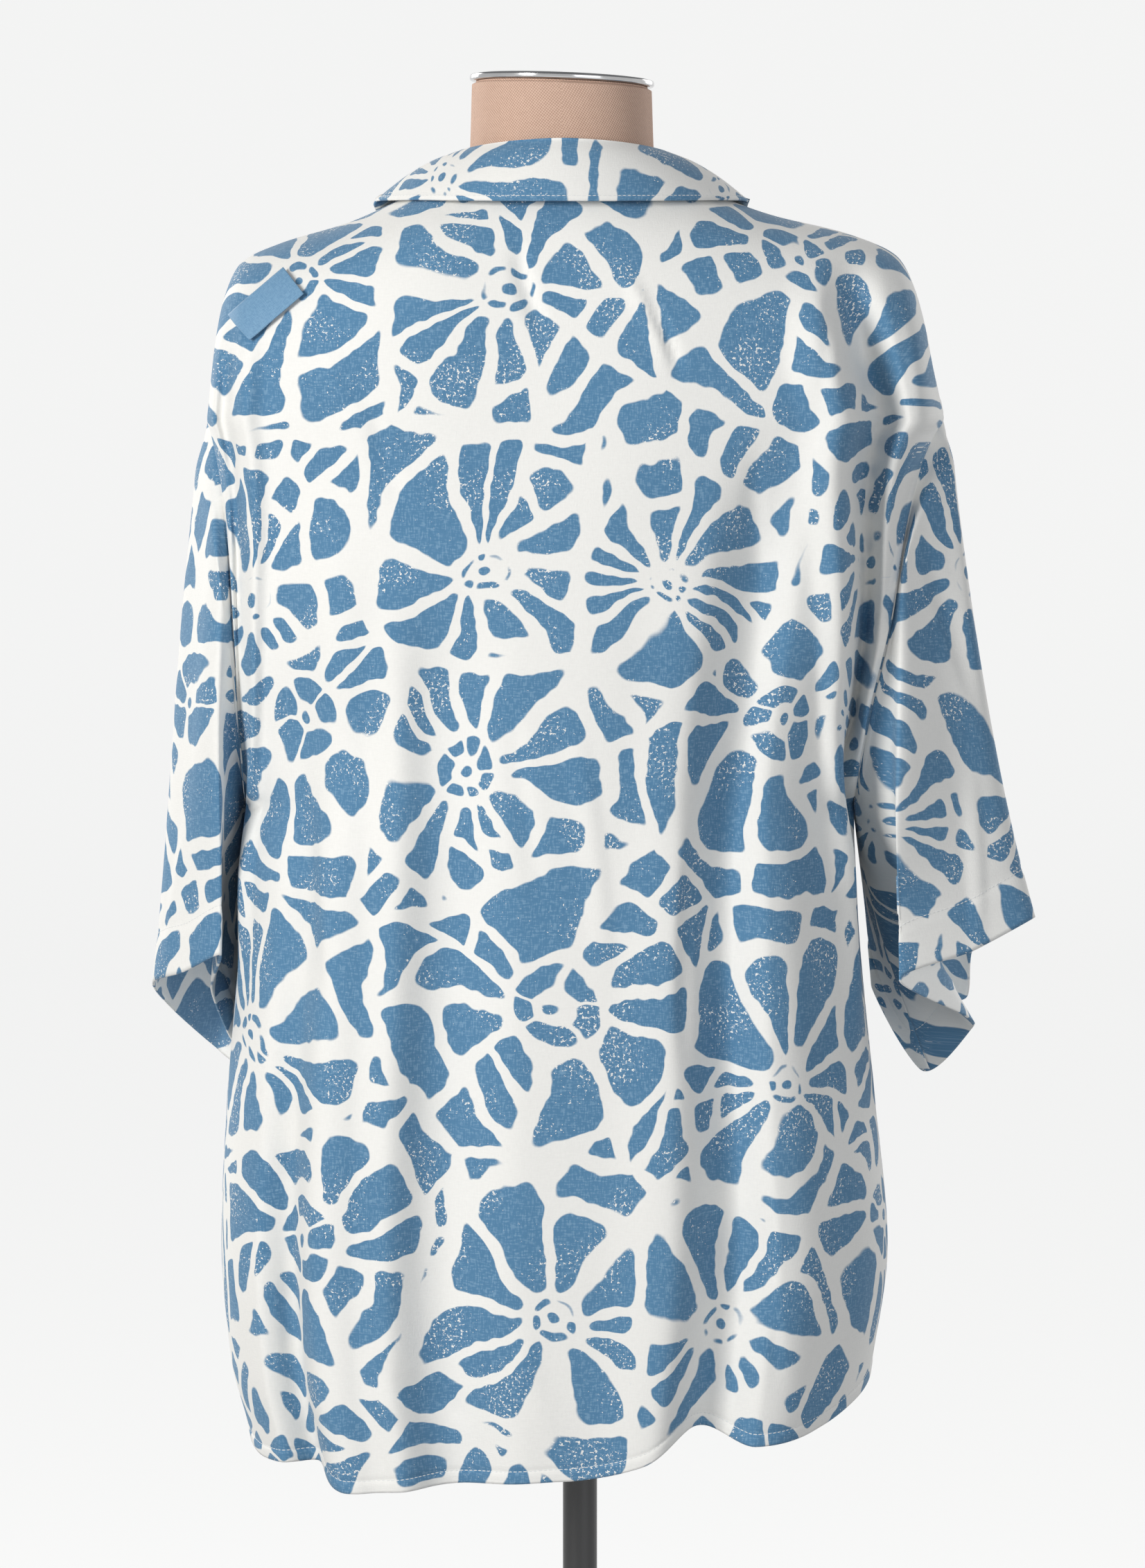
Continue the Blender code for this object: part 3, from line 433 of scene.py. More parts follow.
def meshPiece(name, points, faces, material, smooth=True):
    mesh = bpy.data.meshes.new(name)
    mesh.from_pydata([tuple(map(float, p)) for p in points], [], [tuple(map(int, f)) for f in faces])
    mesh.materials.append(material)
    if smooth:
        mesh.shade_smooth()
    return addObject(name, mesh)


def circle(radius, height, segments):
    angles = np.linspace(0, 2 * math.pi, segments, endpoint=False)
    return [(radius * math.cos(a), radius * math.sin(a), height) for a in angles]


# the faces between closed rings of points, numbered from the first point of the first ring
def ringFaces(first, rings, segments, flip=False):
    faces = []
    for low in range(first, first + (rings - 1) * segments, segments):
        for i in range(segments):
            a, b = low + i, low + (i + 1) % segments
            faces.append((a, a + segments, b + segments, b) if flip else (a, b, b + segments, a + segments))
    return faces


# the walls between circles of points, from (radius, height) pairs
def turnedWalls(profile, segments):
    points = [point for radius, height in profile for point in circle(radius, height, segments)]
    return points, ringFaces(0, len(profile), segments)


# round pieces, closed at both ends; the pairs run up the outside
def turnedPiece(name, profile, segments, material):
    points, walls = turnedWalls(profile, segments)
    ends = [tuple(reversed(range(segments))), tuple(range(len(points) - segments, len(points)))]
    piece = meshPiece(name, points, ends + walls, material)
    piece.data.set_sharp_from_angle(angle=math.radians(40))
    return piece


stitching = {
    "pitch": 0.0030,
    "length": 0.0022,
    "width": 0.00032,
    "rise": 0.00025,
}


# a row of raised machine stitches along a path that lies on the cloth
def stitchRow(name, paths, material):
    points, faces = [], []
    for path, normals in paths:
        steps = np.linalg.norm(np.diff(path, axis=0), axis=1)
        run = np.concatenate([[0], np.cumsum(steps)])
        for start in np.arange(0.001, run[-1] - stitching["length"], stitching["pitch"]):
            ends = [start, start + stitching["length"] / 2, start + stitching["length"]]
            spots = np.stack([np.interp(ends, run, path[:, k]) for k in range(3)], axis=1)
            up = np.array([np.interp(ends[1], run, normals[:, k]) for k in range(3)])
            up = up / np.linalg.norm(up)
            side = np.cross(spots[2] - spots[0], up)
            side = side / np.linalg.norm(side) * stitching["width"]
            first = len(points)
            for spot, swell in zip(spots, (0.45, 1.0, 0.45)):
                top = up * stitching["rise"] * swell
                points += [spot + side * swell, spot + top + side * swell * 0.5]
                points += [spot + top - side * swell * 0.5, spot - side * swell]
            for ring in (0, 4):
                for k in range(3):
                    a = first + ring + k
                    faces.append((a, a + 4, a + 5, a + 1))
            faces.append((first, first + 1, first + 2, first + 3))
            faces.append((first + 11, first + 10, first + 9, first + 8))
    piece = meshPiece(name, points, faces, material, smooth=False)
    settle(piece)
    return piece


# the line at a distance along the cloth from the first point of each column
def lineAt(grid, lengths, distance):
    return np.stack([
        [np.interp(distance, lengths[i], grid[i, :, k]) for i in range(grid.shape[0])] for k in range(3)
    ], axis=1)


# a shader value: + - * / with it makes the Math nodes
class Value:
    def __init__(self, tree, socket):
        self.tree, self.socket = tree, socket

    def of(self, operation, *others):
        return calc(self.tree, operation, self, *others)

    def __add__(self, other):
        return self.of("ADD", other)

    def __sub__(self, other):
        return self.of("SUBTRACT", other)

    def __mul__(self, other):
        return self.of("MULTIPLY", other)

    def __truediv__(self, other):
        return self.of("DIVIDE", other)

    def __radd__(self, other):
        return calc(self.tree, "ADD", other, self)

    def __rsub__(self, other):
        return calc(self.tree, "SUBTRACT", other, self)

    def __rtruediv__(self, other):
        return calc(self.tree, "DIVIDE", other, self)


def link(tree, value, socket):
    if isinstance(value, Value):
        tree.links.new(value.socket, socket)
    else:
        socket.default_value = value


# a node with its settings; its inputs are given by name or in their order
def addNode(tree, kind, inputs=(), **settings):
    node = tree.nodes.new("ShaderNode" + kind)
    for name, value in settings.items():
        setattr(node, name, value)
    for name, value in inputs.items() if isinstance(inputs, dict) else enumerate(inputs):
        link(tree, value, node.inputs[name])
    return node


def namedValues(tree, node):
    return {socket.name: Value(tree, socket) for socket in node.outputs}


def calc(tree, operation, *values):
    return Value(tree, addNode(tree, "Math", values, operation=operation).outputs[0])


def vectorCalc(tree, operation, *values):
    return Value(tree, addNode(tree, "VectorMath", values, operation=operation).outputs[0])


def split(tree, kind, value):
    return [Value(tree, socket) for socket in addNode(tree, "Separate" + kind, [value]).outputs]


def join(tree, kind, *values):
    return Value(tree, addNode(tree, "Combine" + kind, values).outputs[0])


def softStep(tree, value, low, high):
    inputs = {"Value": value, "From Min": low, "From Max": high}
    return Value(tree, addNode(tree, "MapRange", inputs, interpolation_type="SMOOTHSTEP").outputs["Result"])


def blendColours(tree, amount, first, second, way="MIX"):
    inputs = {"Factor": amount, "A": first, "B": second}
    return Value(tree, addNode(tree, "Mix", inputs, data_type="RGBA", blend_type=way).outputs["Result"])


def noise(tree, vector, scale, detail, roughness=0.5, dimensions="3D", out="Fac"):
    inputs = {"Vector": vector, "Scale": scale, "Detail": detail, "Roughness": roughness}
    return Value(tree, addNode(tree, "TexNoise", inputs, noise_dimensions=dimensions).outputs[out])


def voronoi(tree, vector, scale, randomness, feature):
    inputs = {"Vector": vector, "Scale": scale, "Randomness": randomness}
    return namedValues(tree, addNode(tree, "TexVoronoi", inputs, voronoi_dimensions="2D", feature=feature))


# three random numbers for each set of three numbers
def dice(tree, *numbers):
    node = addNode(tree, "TexWhiteNoise", {"Vector": join(tree, "XYZ", *numbers)}, noise_dimensions="3D")
    return split(tree, "Color", Value(tree, node.outputs["Color"]))


def wander(tree, vector, scale, amount):
    swing = noise(tree, vector, scale, 0.0, dimensions="2D", out="Color")
    off = vectorCalc(tree, "SUBTRACT", swing, (0.5, 0.5, 0.5))
    return Value(tree, addNode(tree, "VectorMath", {0: off, "Scale": amount}, operation="SCALE").outputs[0])


# each input's own value, or None for a vector
def newGroup(name, inputs, outputs):
    group = bpy.data.node_groups.new(name, "ShaderNodeTree")
    for label, value in inputs.items():
        kind = "NodeSocketVector" if value is None else "NodeSocketFloat"
        socket = group.interface.new_socket(label, in_out="INPUT", socket_type=kind)
        if value is not None:
            socket.default_value = value
    for label in outputs:
        group.interface.new_socket(label, in_out="OUTPUT", socket_type="NodeSocketFloat")
    given = namedValues(group, group.nodes.new("NodeGroupInput"))
    return group, given, group.nodes.new("NodeGroupOutput").inputs


def useGroup(tree, group, **values):
    return namedValues(tree, addNode(tree, "Group", values, node_tree=group))


# warp and weft threads with slubs; Height for bump, Shade near 0.5 for colour
def makeWeaveGroup():
    inputs = {"Coordinate": None, "Thread": 0.0008, "Slub": 12.0}
    group, given, put = newGroup("woven threads", inputs, ("Height", "Shade"))
    perThread = 1.0 / given["Thread"]
    perSlub = perThread / given["Slub"]
    heights, shades = [], []
    for across, along in ((perThread, perSlub), (perSlub, perThread)):
        stretched = vectorCalc(group, "MULTIPLY", given["Coordinate"], join(group, "XYZ", across, along))
        heights.append(noise(group, stretched, 1.0, 1.5, dimensions="2D"))
        shades.append(noise(group, stretched, 0.8, 1.0, dimensions="2D"))
    link(group, calc(group, "MAXIMUM", *heights), put["Height"])
    link(group, (shades[0] + shades[1]) * 0.5, put["Shade"])
    return group


printLook = {
    "pitch": 0.148,  # metres from flower to flower
    "scatter": 0.60,
    "gap": 0.0082,  # white between petals
    "wobble": 0.010,
    "fineLine": 0.0015,  # half the white line in the middle of a flower
    "petals": 10.0,
    "foldShare": 0.35,  # how much of the cloth's own length, and not of its calmer shape, is laid out
    "calmReach": 14,  # one part in this many of a row is calmed
    "shoulderFrom": 1.31,
    "shoulderBlend": 0.06,
}


# distance in metres from a petal's sides, how far it lies across, and three throws of dice for it
def petalRing(tree, radius, turn, count, cell, seed):
    sector = turn * count / (2 * math.pi)
    number = sector.of("FLOOR").of("FLOORED_MODULO", count)
    across = sector.of("FRACT") - 0.5
    throws = dice(tree, number, cell[0] * 91.0, cell[1] + seed)
    arc = radius * (2 * math.pi / count)
    return (0.5 - across.of("ABSOLUTE")) * arc, across * arc, throws


def makePrintGroup():
    inputs = {"Coordinate": None, "Pitch": printLook["pitch"], "Gap": printLook["gap"]}
    group, given, put = newGroup("petal print", inputs, ("Ink", "Tone"))
    place, pitch, gap = given["Coordinate"], given["Pitch"], given["Gap"]

    # the smaller of two distances, with a rounded corner where they meet
    def rounded(first, second, radius):
        return first.of("SMOOTH_MIN", second, radius)

    spot = place
    for scale, amount in ((9.0, 0.026), (34.0, printLook["wobble"]), (140.0, 0.0022)):
        spot = vectorCalc(group, "ADD", spot, wander(group, place, scale, amount))
    perPitch = 1.0 / pitch
    near = voronoi(group, spot, perPitch, printLook["scatter"], "F1")
    edge = voronoi(group, spot, perPitch, printLook["scatter"], "DISTANCE_TO_EDGE")["Distance"] * pitch
    x, y, _ = split(group, "XYZ", vectorCalc(group, "SUBTRACT", spot, near["Position"]))
    radius = (x * x + y * y).of("SQRT")
    cell = split(group, "Color", near["Color"])
    angle = y.of("ARCTAN2", x)
    turn = angle + cell[2] * 6.28
    for turns, phase, amount in ((2.0, cell[0], 0.15), (3.0, cell[1], 0.12), (5.0, cell[2], 0.05)):
        turn = turn + (angle * turns + phase * 6.28).of("SINE") * amount
    turn = turn + radius * ((cell[1] - 0.5) * 4.0)
    count = printLook["petals"] + (cell[0] * 3.99).of("FLOOR")
    fromSide, across, throws = petalRing(group, radius, turn, count, cell, 0.0)
    # white lines are finer in the middle of a flower than further out
    fine = printLook["fineLine"]
    half = fine + softStep(group, radius, 0.008, 0.042) * (gap * 0.5 - fine)
    # a long petal with a blunt end, outside a ring that differs from flower to flower
    along = radius + across * ((throws[2] - 0.5) * 0.9)
    ringEnd = 0.0135 + cell[1].of("POWER", 2.0) * 0.020
    innerEnd = ringEnd + (throws[0] - 0.2) * 0.006
    outerEnd = 0.070 + throws[1] * 0.020
    petal = rounded(fromSide, along - innerEnd, 0.010)
    petal = rounded(petal, outerEnd - along, 0.016)
    petal = rounded(petal, edge, 0.010)
    # one petal in four is broken across
    breakAt = 0.048 + throws[1] * 0.012
    lean = across * ((throws[0] - 0.5) * 1.6)
    broken = (radius + lean - breakAt).of("ABSOLUTE")
    broken = broken + (throws[2] * 7.0).of("FRACT").of("LESS_THAN", 0.75)
    petal = rounded(petal, broken, 0.006) - half
    # a ring of small round pieces inside the petals, and a pebble in the middle
    ringSide, _, ringThrows = petalRing(group, radius, turn, count - 5.0, cell, 5.0)
    ringStart = 0.0065 + ringThrows[0] * 0.004
    ring = rounded(ringSide, radius - ringStart, 0.005)
    ring = rounded(ring, ringEnd - radius, 0.005) - half * 0.8
    pebble = 0.0035 - radius
    # smaller pieces, one or two to a petal, fill what is left between the flowers
    _, _, outer = petalRing(group, radius, turn, count, cell, 3.0)
    halfSector = radius * (math.pi / count) - fromSide
    whole = outer[0].of("GREATER_THAN", 0.3) * 0.1
    chipSide = rounded(fromSide, halfSector + whole, 0.006)
    chip = rounded(along - outerEnd, rounded(edge, chipSide, 0.006), 0.006) - gap * 0.46
    inside = petal.of("MAXIMUM", ring).of("MAXIMUM", pebble.of("MAXIMUM", chip))
    ink = softStep(group, inside, -0.0004, 0.0005)
    # worn specks where the ink has not taken
    patch = softStep(group, noise(group, place, 21.0, 3.0, dimensions="2D"), 0.66, 0.40)
    speck = noise(group, place, 520.0, 2.0, roughness=0.70, dimensions="2D")
    worn = softStep(group, speck - (0.615 + patch * 0.18), -0.015, 0.02)
    link(group, ink * (1.0 - worn), put["Ink"])
    link(group, noise(group, place, 9.0, 2.0, dimensions="2D"), put["Tone"])
    return group


def startMaterial(name):
    material = bpy.data.materials.new(name)
    material.use_nodes = True
    return material, material.node_tree, material.node_tree.nodes["Principled BSDF"]


def setInputs(tree, shader, values):
    for label, value in values.items():
        link(tree, value, shader.inputs[label])


def clothCoordinate(tree):
    return Value(tree, addNode(tree, "UVMap", uv_map="cloth").outputs[0])


def objectCoordinate(tree):
    return Value(tree, addNode(tree, "TexCoord").outputs["Object"])


def addBump(tree, shader, height, distance, strength):
    node = addNode(tree, "Bump", {"Strength": strength, "Distance": distance, "Height": height})
    tree.links.new(node.outputs[0], shader.inputs["Normal"])


weaveGroup = makeWeaveGroup()
printGroup = makePrintGroup()

cottonLook = {
    "ground": (0.850, 0.845, 0.815, 1.0),
    "blue": (0.098, 0.245, 0.412, 1.0),
    "deepBlue": (0.074, 0.196, 0.340, 1.0),
    "paleBlue": (0.270, 0.430, 0.580, 1.0),
    "thread": 0.00080,
    "weaveDepth": 0.00016,
    "reverseFade": 0.05,
    # painted light: how brightly the reverse side glows with its own colour
    "glow": 0.13,
}


def printedCotton(name, fade):
    material, tree, shader = startMaterial(name)
    coordinate = clothCoordinate(tree)
    weave = useGroup(tree, weaveGroup, Coordinate=coordinate, Thread=cottonLook["thread"], Slub=4.5)
    design = useGroup(tree, printGroup, Coordinate=coordinate)
    blue = blendColours(tree, design["Tone"], cottonLook["blue"], cottonLook["deepBlue"])
    thin = softStep(tree, weave["Shade"], 0.46, 0.68) * 0.42
    blue = blendColours(tree, thin, blue, cottonLook["paleBlue"])
    colour = blendColours(tree, design["Ink"] * (1.0 - fade), cottonLook["ground"], blue)
    shade = 0.955 + weave["Shade"] * 0.09
    colour = blendColours(tree, 1.0, colour, join(tree, "Color", shade, shade, shade), way="MULTIPLY")
    setInputs(tree, shader, {
        "Base Color": colour, "Roughness": 0.80 + design["Ink"] * 0.06, "Specular IOR Level": 0.25,
        "Sheen Weight": 0.16, "Sheen Roughness": 0.5,
    })
    if fade > 0:  # painted light: the reverse side glows with its own colour, standing in for light through the thin cloth and light bounced inside
        setInputs(tree, shader, {"Emission Color": colour, "Emission Strength": cottonLook["glow"]})
    addBump(tree, shader, weave["Height"], cottonLook["weaveDepth"], 0.8)
    return material


def threadMaterial(name, dark, light, roughness):
    material, tree, shader = startMaterial(name)
    tint = noise(tree, objectCoordinate(tree), 900.0, 1.0)
    setInputs(tree, shader, {"Base Color": blendColours(tree, tint, dark, light), "Roughness": roughness})
    return material


labelLook = {"blue": (0.120, 0.270, 0.440, 1.0), "pale": (0.170, 0.330, 0.500, 1.0), "thread": 0.0005}


def labelMaterial():
    material, tree, shader = startMaterial("label tape")
    weave = useGroup(tree, weaveGroup, Coordinate=clothCoordinate(tree), Thread=labelLook["thread"], Slub=5.0)
    mix = softStep(tree, weave["Shade"], 0.35, 0.65)
    setInputs(tree, shader, {
        "Base Color": blendColours(tree, mix, labelLook["blue"], labelLook["pale"]),
        "Roughness": 0.55 + weave["Shade"] * 0.2, "Sheen Weight": 0.15,
    })
    addBump(tree, shader, weave["Height"], 0.00012, 0.7)
    return material


linenLook = {
    "light": (0.720, 0.510, 0.400, 1.0),
    "dark": (0.470, 0.300, 0.225, 1.0),
    "thread": 0.0013,
    "weaveDepth": 0.0002,
    "bias": ((0.80, 0.60), (-0.60, 0.80)),  # the two thread directions, cut on the bias
}


def linenMaterial():
    material, tree, shader = startMaterial("natural linen")
    coordinate = clothCoordinate(tree)
    weave = useGroup(tree, weaveGroup, Coordinate=coordinate, Thread=linenLook["thread"], Slub=6.0)
    x, y, _ = split(tree, "XYZ", coordinate)
    turn = 2 * math.pi / linenLook["thread"]
    first, second = ((x * (across * turn) + y * (along * turn)).of("SINE")
                     for across, along in linenLook["bias"])
    height = 0.5 + (first + second) * 0.18 + weave["Shade"] * 0.25
    mix = softStep(tree, height, 0.35, 0.90)
    setInputs(tree, shader, {
        "Base Color": blendColours(tree, mix, linenLook["dark"], linenLook["light"]),
        "Roughness": 0.80 + weave["Shade"] * 0.15, "Specular IOR Level": 0.2,
    })
    addBump(tree, shader, height, linenLook["weaveDepth"], 0.9)
    return material


def chromeMaterial():
    material, tree, shader = startMaterial("polished chrome")
    smear = noise(tree, objectCoordinate(tree), 60.0, 3.0)
    setInputs(tree, shader, {
        "Base Color": blendColours(tree, smear, (0.40, 0.40, 0.41, 1.0), (0.54, 0.54, 0.54, 1.0)),
        "Roughness": 0.08 + smear * 0.10, "Metallic": 1.0,
    })
    return material


def blackMetalMaterial():
    material, tree, shader = startMaterial("satin black metal")
    coordinate = objectCoordinate(tree)
    grain = noise(tree, coordinate, 420.0, 2.0)
    dust = noise(tree, coordinate, 14.0, 4.0)
    setInputs(tree, shader, {
        "Base Color": blendColours(tree, dust, (0.010, 0.010, 0.011, 1.0), (0.024, 0.024, 0.025, 1.0)),
        "Roughness": 0.28 + dust * 0.22,
    })
    addBump(tree, shader, grain, 0.00008, 0.5)
    return material


def buttonMaterial():
    material, tree, shader = startMaterial("shell button")
    swirl = noise(tree, objectCoordinate(tree), 240.0, 4.0)
    setInputs(tree, shader, {
        "Base Color": blendColours(tree, swirl, (0.80, 0.79, 0.74, 1.0), (0.60, 0.60, 0.57, 1.0)),
        "Roughness": 0.20 + swirl * 0.15, "Coat Weight": 0.3,
    })
    return material


cotton = printedCotton("printed cotton", 0.0)
cottonReverse = printedCotton("printed cotton reverse with painted glow", cottonLook["reverseFade"])
thread = threadMaterial("sewing thread", (0.66, 0.68, 0.68, 1.0), (0.84, 0.84, 0.82, 1.0), 0.6)
linenThread = threadMaterial("linen thread", (0.42, 0.29, 0.21, 1.0), (0.60, 0.44, 0.33, 1.0), 0.7)
labelTape = labelMaterial()
linen = linenMaterial()
chrome = chromeMaterial()
blackMetal = blackMetalMaterial()
shell = buttonMaterial()
print("materials made")


# shares of a column's height: close rows at the hem and its stitch line, then closer to the shoulder
def panelRows(count, hemDepth, total):
    near = np.array([0.0, 0.2, 0.5, 0.8, 0.93, 1.0, 1.07, 1.2, 1.5]) * hemDepth / total
    rest = 1 - (1 - np.linspace(0, 1, count)) ** 1.3
    return np.concatenate([near, near[-1] + (1 - near[-1]) * rest[1:]])


# the seam line sinks a little, with its allowance raised beside it
def seamLift(distance):
    return 0.0004 * ramp(distance, 0.002, 0.004) * (1 - ramp(distance, 0.010, 0.013)) - 0.0008 * (
        1 - ramp(distance, 0.0, 0.003)
    )


def hemLift(distance, depth):
    return 0.0004 * (1 - ramp(distance, depth * 0.85, depth * 1.15)) - 0.0006 * bump(
        (distance - depth) / (depth * 0.15 + 0.0008)
    )


panels = {
    "backColumns": 280,
    "backRows": 140,
    "frontColumns": 130,
    "frontRows": 130,
    "backSpread": 0.78,  # columns crowd towards the sides up to 1
    "frontSpread": 0.86,
    "backLength": 0.75,
    "frontLength": 0.73,
    "slack": 0.0010,
    "frontLift": 0.0028,  # the right front lies this far over the left one
}


def panelGrid(places, rows, top, hemName, isBack):
    place, share = np.meshgrid(places, rows, indexing="ij")
    topHeight = top(place)
    hemHeight = follow(hemTable["place"], hemTable[hemName], place)
    height = hemHeight + (topHeight - hemHeight) * share
    return panelPoint(place, height, topHeight, isBack)


# a panel's piece: its double hem, its stitching, the solid it stands for and its flat size
def finishPanel(node, facing, grid, outward, design, edges=()):
    name = "shirt_" + node
    u, v = clothLengths(grid)
    hem = 1 - ramp(v, shirt["hemDepth"], shirt["hemDepth"] + 0.002)
    piece = clothPiece(name, grid, facing, design, [cotton, cottonReverse], shirt["thickness"], hem)
    path = lineAt(grid, v, shirt["hemDepth"]), lineAt(outward, v, shirt["hemDepth"])
    stitches = stitchRow(name + "_stitches", [path, *edges], thread)
    settle(piece, node)
    declareSheet(grid, np.stack([u, v], axis=-1))


def makeBack():
    places = np.sin(np.linspace(-1, 1, panels["backColumns"]) * math.pi / 2 * panels["backSpread"])
    rows = panelRows(panels["backRows"], shirt["hemDepth"], panels["backLength"])
    grid = panelGrid(places / places[-1], rows, backTop, "back", True)
    outward = -gridNormals(grid)
    x, z = grid[..., 0], grid[..., 2]
    u, v = clothLengths(grid)
    fromSide = np.minimum(u, u[-1:] - u)
    fromTop = v[:, -1:] - v
    lift = creaseLift(x, z, backCreases) + slackLift(x, z, panels["slack"], 3)
    lift = lift * ramp(fromSide, 0.0, 0.03) * ramp(fromTop, 0.0, 0.04)
    lift = lift + seamLift(fromSide) + seamLift(fromTop) + hemLift(v, shirt["hemDepth"])
    grid = grid + outward * lift[..., None]
    design = printPlace(grid, np.argmin(np.abs(places)), 1, 0.0)
    finishPanel("back", -1, grid, outward, design)


def makeFront(node, side, forward):
    reach = abs(bodyTable["left" if side > 0 else "right"][5] - centreX)
    overlap = (shirt["frontOverlap"] / reach) ** (shirt["squareness"] / 2) * 2 / math.pi
    fan = np.sin(np.linspace(0, 1, panels["frontColumns"]) * math.pi / 2 * panels["frontSpread"])
    places = side * (-overlap + (1 + overlap) * fan / fan[-1])
    rows = panelRows(panels["frontRows"], shirt["hemDepth"], panels["frontLength"])
    grid = panelGrid(places, rows, frontTop, "front", False)
    nearEdge = 1 - ramp(np.abs(grid[..., 0] - centreX), 0.020, 0.060)
    grid[..., 1] -= forward * np.maximum(nearEdge, (side * places < 0)[:, None])
    outward = gridNormals(grid) * side
    x, z = grid[..., 0], grid[..., 2]
    u, v = clothLengths(grid)
    fromSide, fromTop = u[-1:] - u, v[:, -1:] - v
    inNeck = np.abs(places)[:, None] < shirt["neckShare"]
    lift = creaseLift(x, z, frontCreases) + slackLift(x, z, panels["slack"], 5 + side)
    lift = lift * ramp(fromSide, 0.0, 0.03) * ramp(fromTop, 0.0, 0.04) * ramp(u, 0.02, 0.06)
    lift = lift + seamLift(fromSide) + np.where(inNeck, 0.0, seamLift(fromTop))
    lift = lift + hemLift(v, shirt["hemDepth"]) * ramp(fromTop, 0.0, 0.02)
    grid = grid + outward * lift[..., None]
    design = printPlace(grid, 0, side, 2.0 + 0.3 * side)
    finishPanel(node, side, grid, outward, design, [(grid[2], outward[2])])


makeBack()
makeFront("front_left", 1, 0.0)
makeFront("front_right", -1, panels["frontLift"])
print("back and fronts made")

# share runs from the top line round the back, the underarm and the front
leftSleeveHem = table("share x y z", [
    (0.00, 0.2600, 0.002, 0.948), (0.12, 0.2400, 0.036, 0.958), (0.21, 0.2150, 0.058, 0.971),
    (0.33, 0.2235, 0.010, 0.945), (0.44, 0.2170, -0.036, 0.912), (0.55, 0.2075, -0.078, 0.884),
    (0.68, 0.2280, -0.108, 0.892), (0.84, 0.2560, -0.062, 0.926),
])
rightSleeveHem = table("share x y z", [
    (0.00, -0.2755, 0.020, 0.990), (0.12, -0.2350, 0.046, 0.972), (0.23, -0.1900, 0.066, 0.957),
    (0.35, -0.2344, 0.012, 0.9285), (0.41, -0.2389, -0.020, 0.9146), (0.52, -0.2125, -0.050, 0.887),
    (0.63, -0.1815, -0.052, 0.940), (0.73, -0.2080, -0.088, 0.935), (0.82, -0.2405, -0.066, 0.930),
    (0.91, -0.2440, -0.045, 0.966),
])
# share at the seam and at the hem, half width, x and y of the fullness that rolls over the armhole
# seam, and how far down it keeps its size
leftRolls = [
    (0.00, 0.00, 0.13, 0.005, 0.000, 0.25), (0.16, 0.18, 0.14, 0.003, 0.013, 0.40),
    (0.80, 0.80, 0.15, 0.001, -0.010, 0.25),
]
rightRolls = [
    (0.00, 0.00, 0.16, 0.003, 0.026, 0.20), (0.15, 0.23, 0.13, -0.003, 0.015, 0.50),
    (0.80, 0.80, 0.15, 0.001, -0.010, 0.25),
]
# creases in metres round and down the sleeve
leftSleeveCreases = [
    (-0.05, 0.06, 0.00, 0.20, 0.004, 0.012, 0.009, -0.0018),
    (0.04, 0.22, 0.02, 0.33, 0.003, 0.010, 0.012, 0.0014),
]
rightSleeveCreases = [
    (0.05, 0.05, 0.01, 0.20, 0.004, 0.012, 0.009, -0.0018),
    (0.03, 0.20, 0.05, 0.31, 0.003, 0.010, 0.012, 0.0014),
]
sleeves = {"around": 200, "rows": 96, "length": 0.33, "hemDepth": 0.030, "slack": 0.0006,
           "leftFlare": 1.0, "rightFlare": 1.45}


def closedCurve(shares, values, at):
    count = len(shares)
    at = np.mod(at, 1.0)
    starts = np.append(shares, 1.0)
    i = np.clip(np.searchsorted(starts, at, side="right") - 1, 0, count - 1)
    t = ((at - starts[i]) / (starts[i + 1] - starts[i]))[..., None]
    p0, p1, p2, p3 = (values[(i + k) % count] for k in (-1, 0, 1, 2))
    m1, m2 = 0.42 * (p2 - p0), 0.42 * (p3 - p1)
    start = (2 * t**3 - 3 * t**2 + 1) * p1 + (t**3 - 2 * t**2 + t) * m1
    return start + (3 * t**2 - 2 * t**3) * p2 + (t**3 - t**2) * m2


def armholeLoop(share, side):
    angle = 2 * math.pi * share
    height = shirt["underarm"] + (shirt["armholeTop"] - shirt["underarm"]) / 2 * (1 + np.cos(angle))
    depth = np.where(np.sin(angle) >= 0, shirt["armholeBack"], shirt["armholeFront"])
    return np.stack([body("left" if side > 0 else "right", height), depth * np.sin(angle), height], axis=-1)


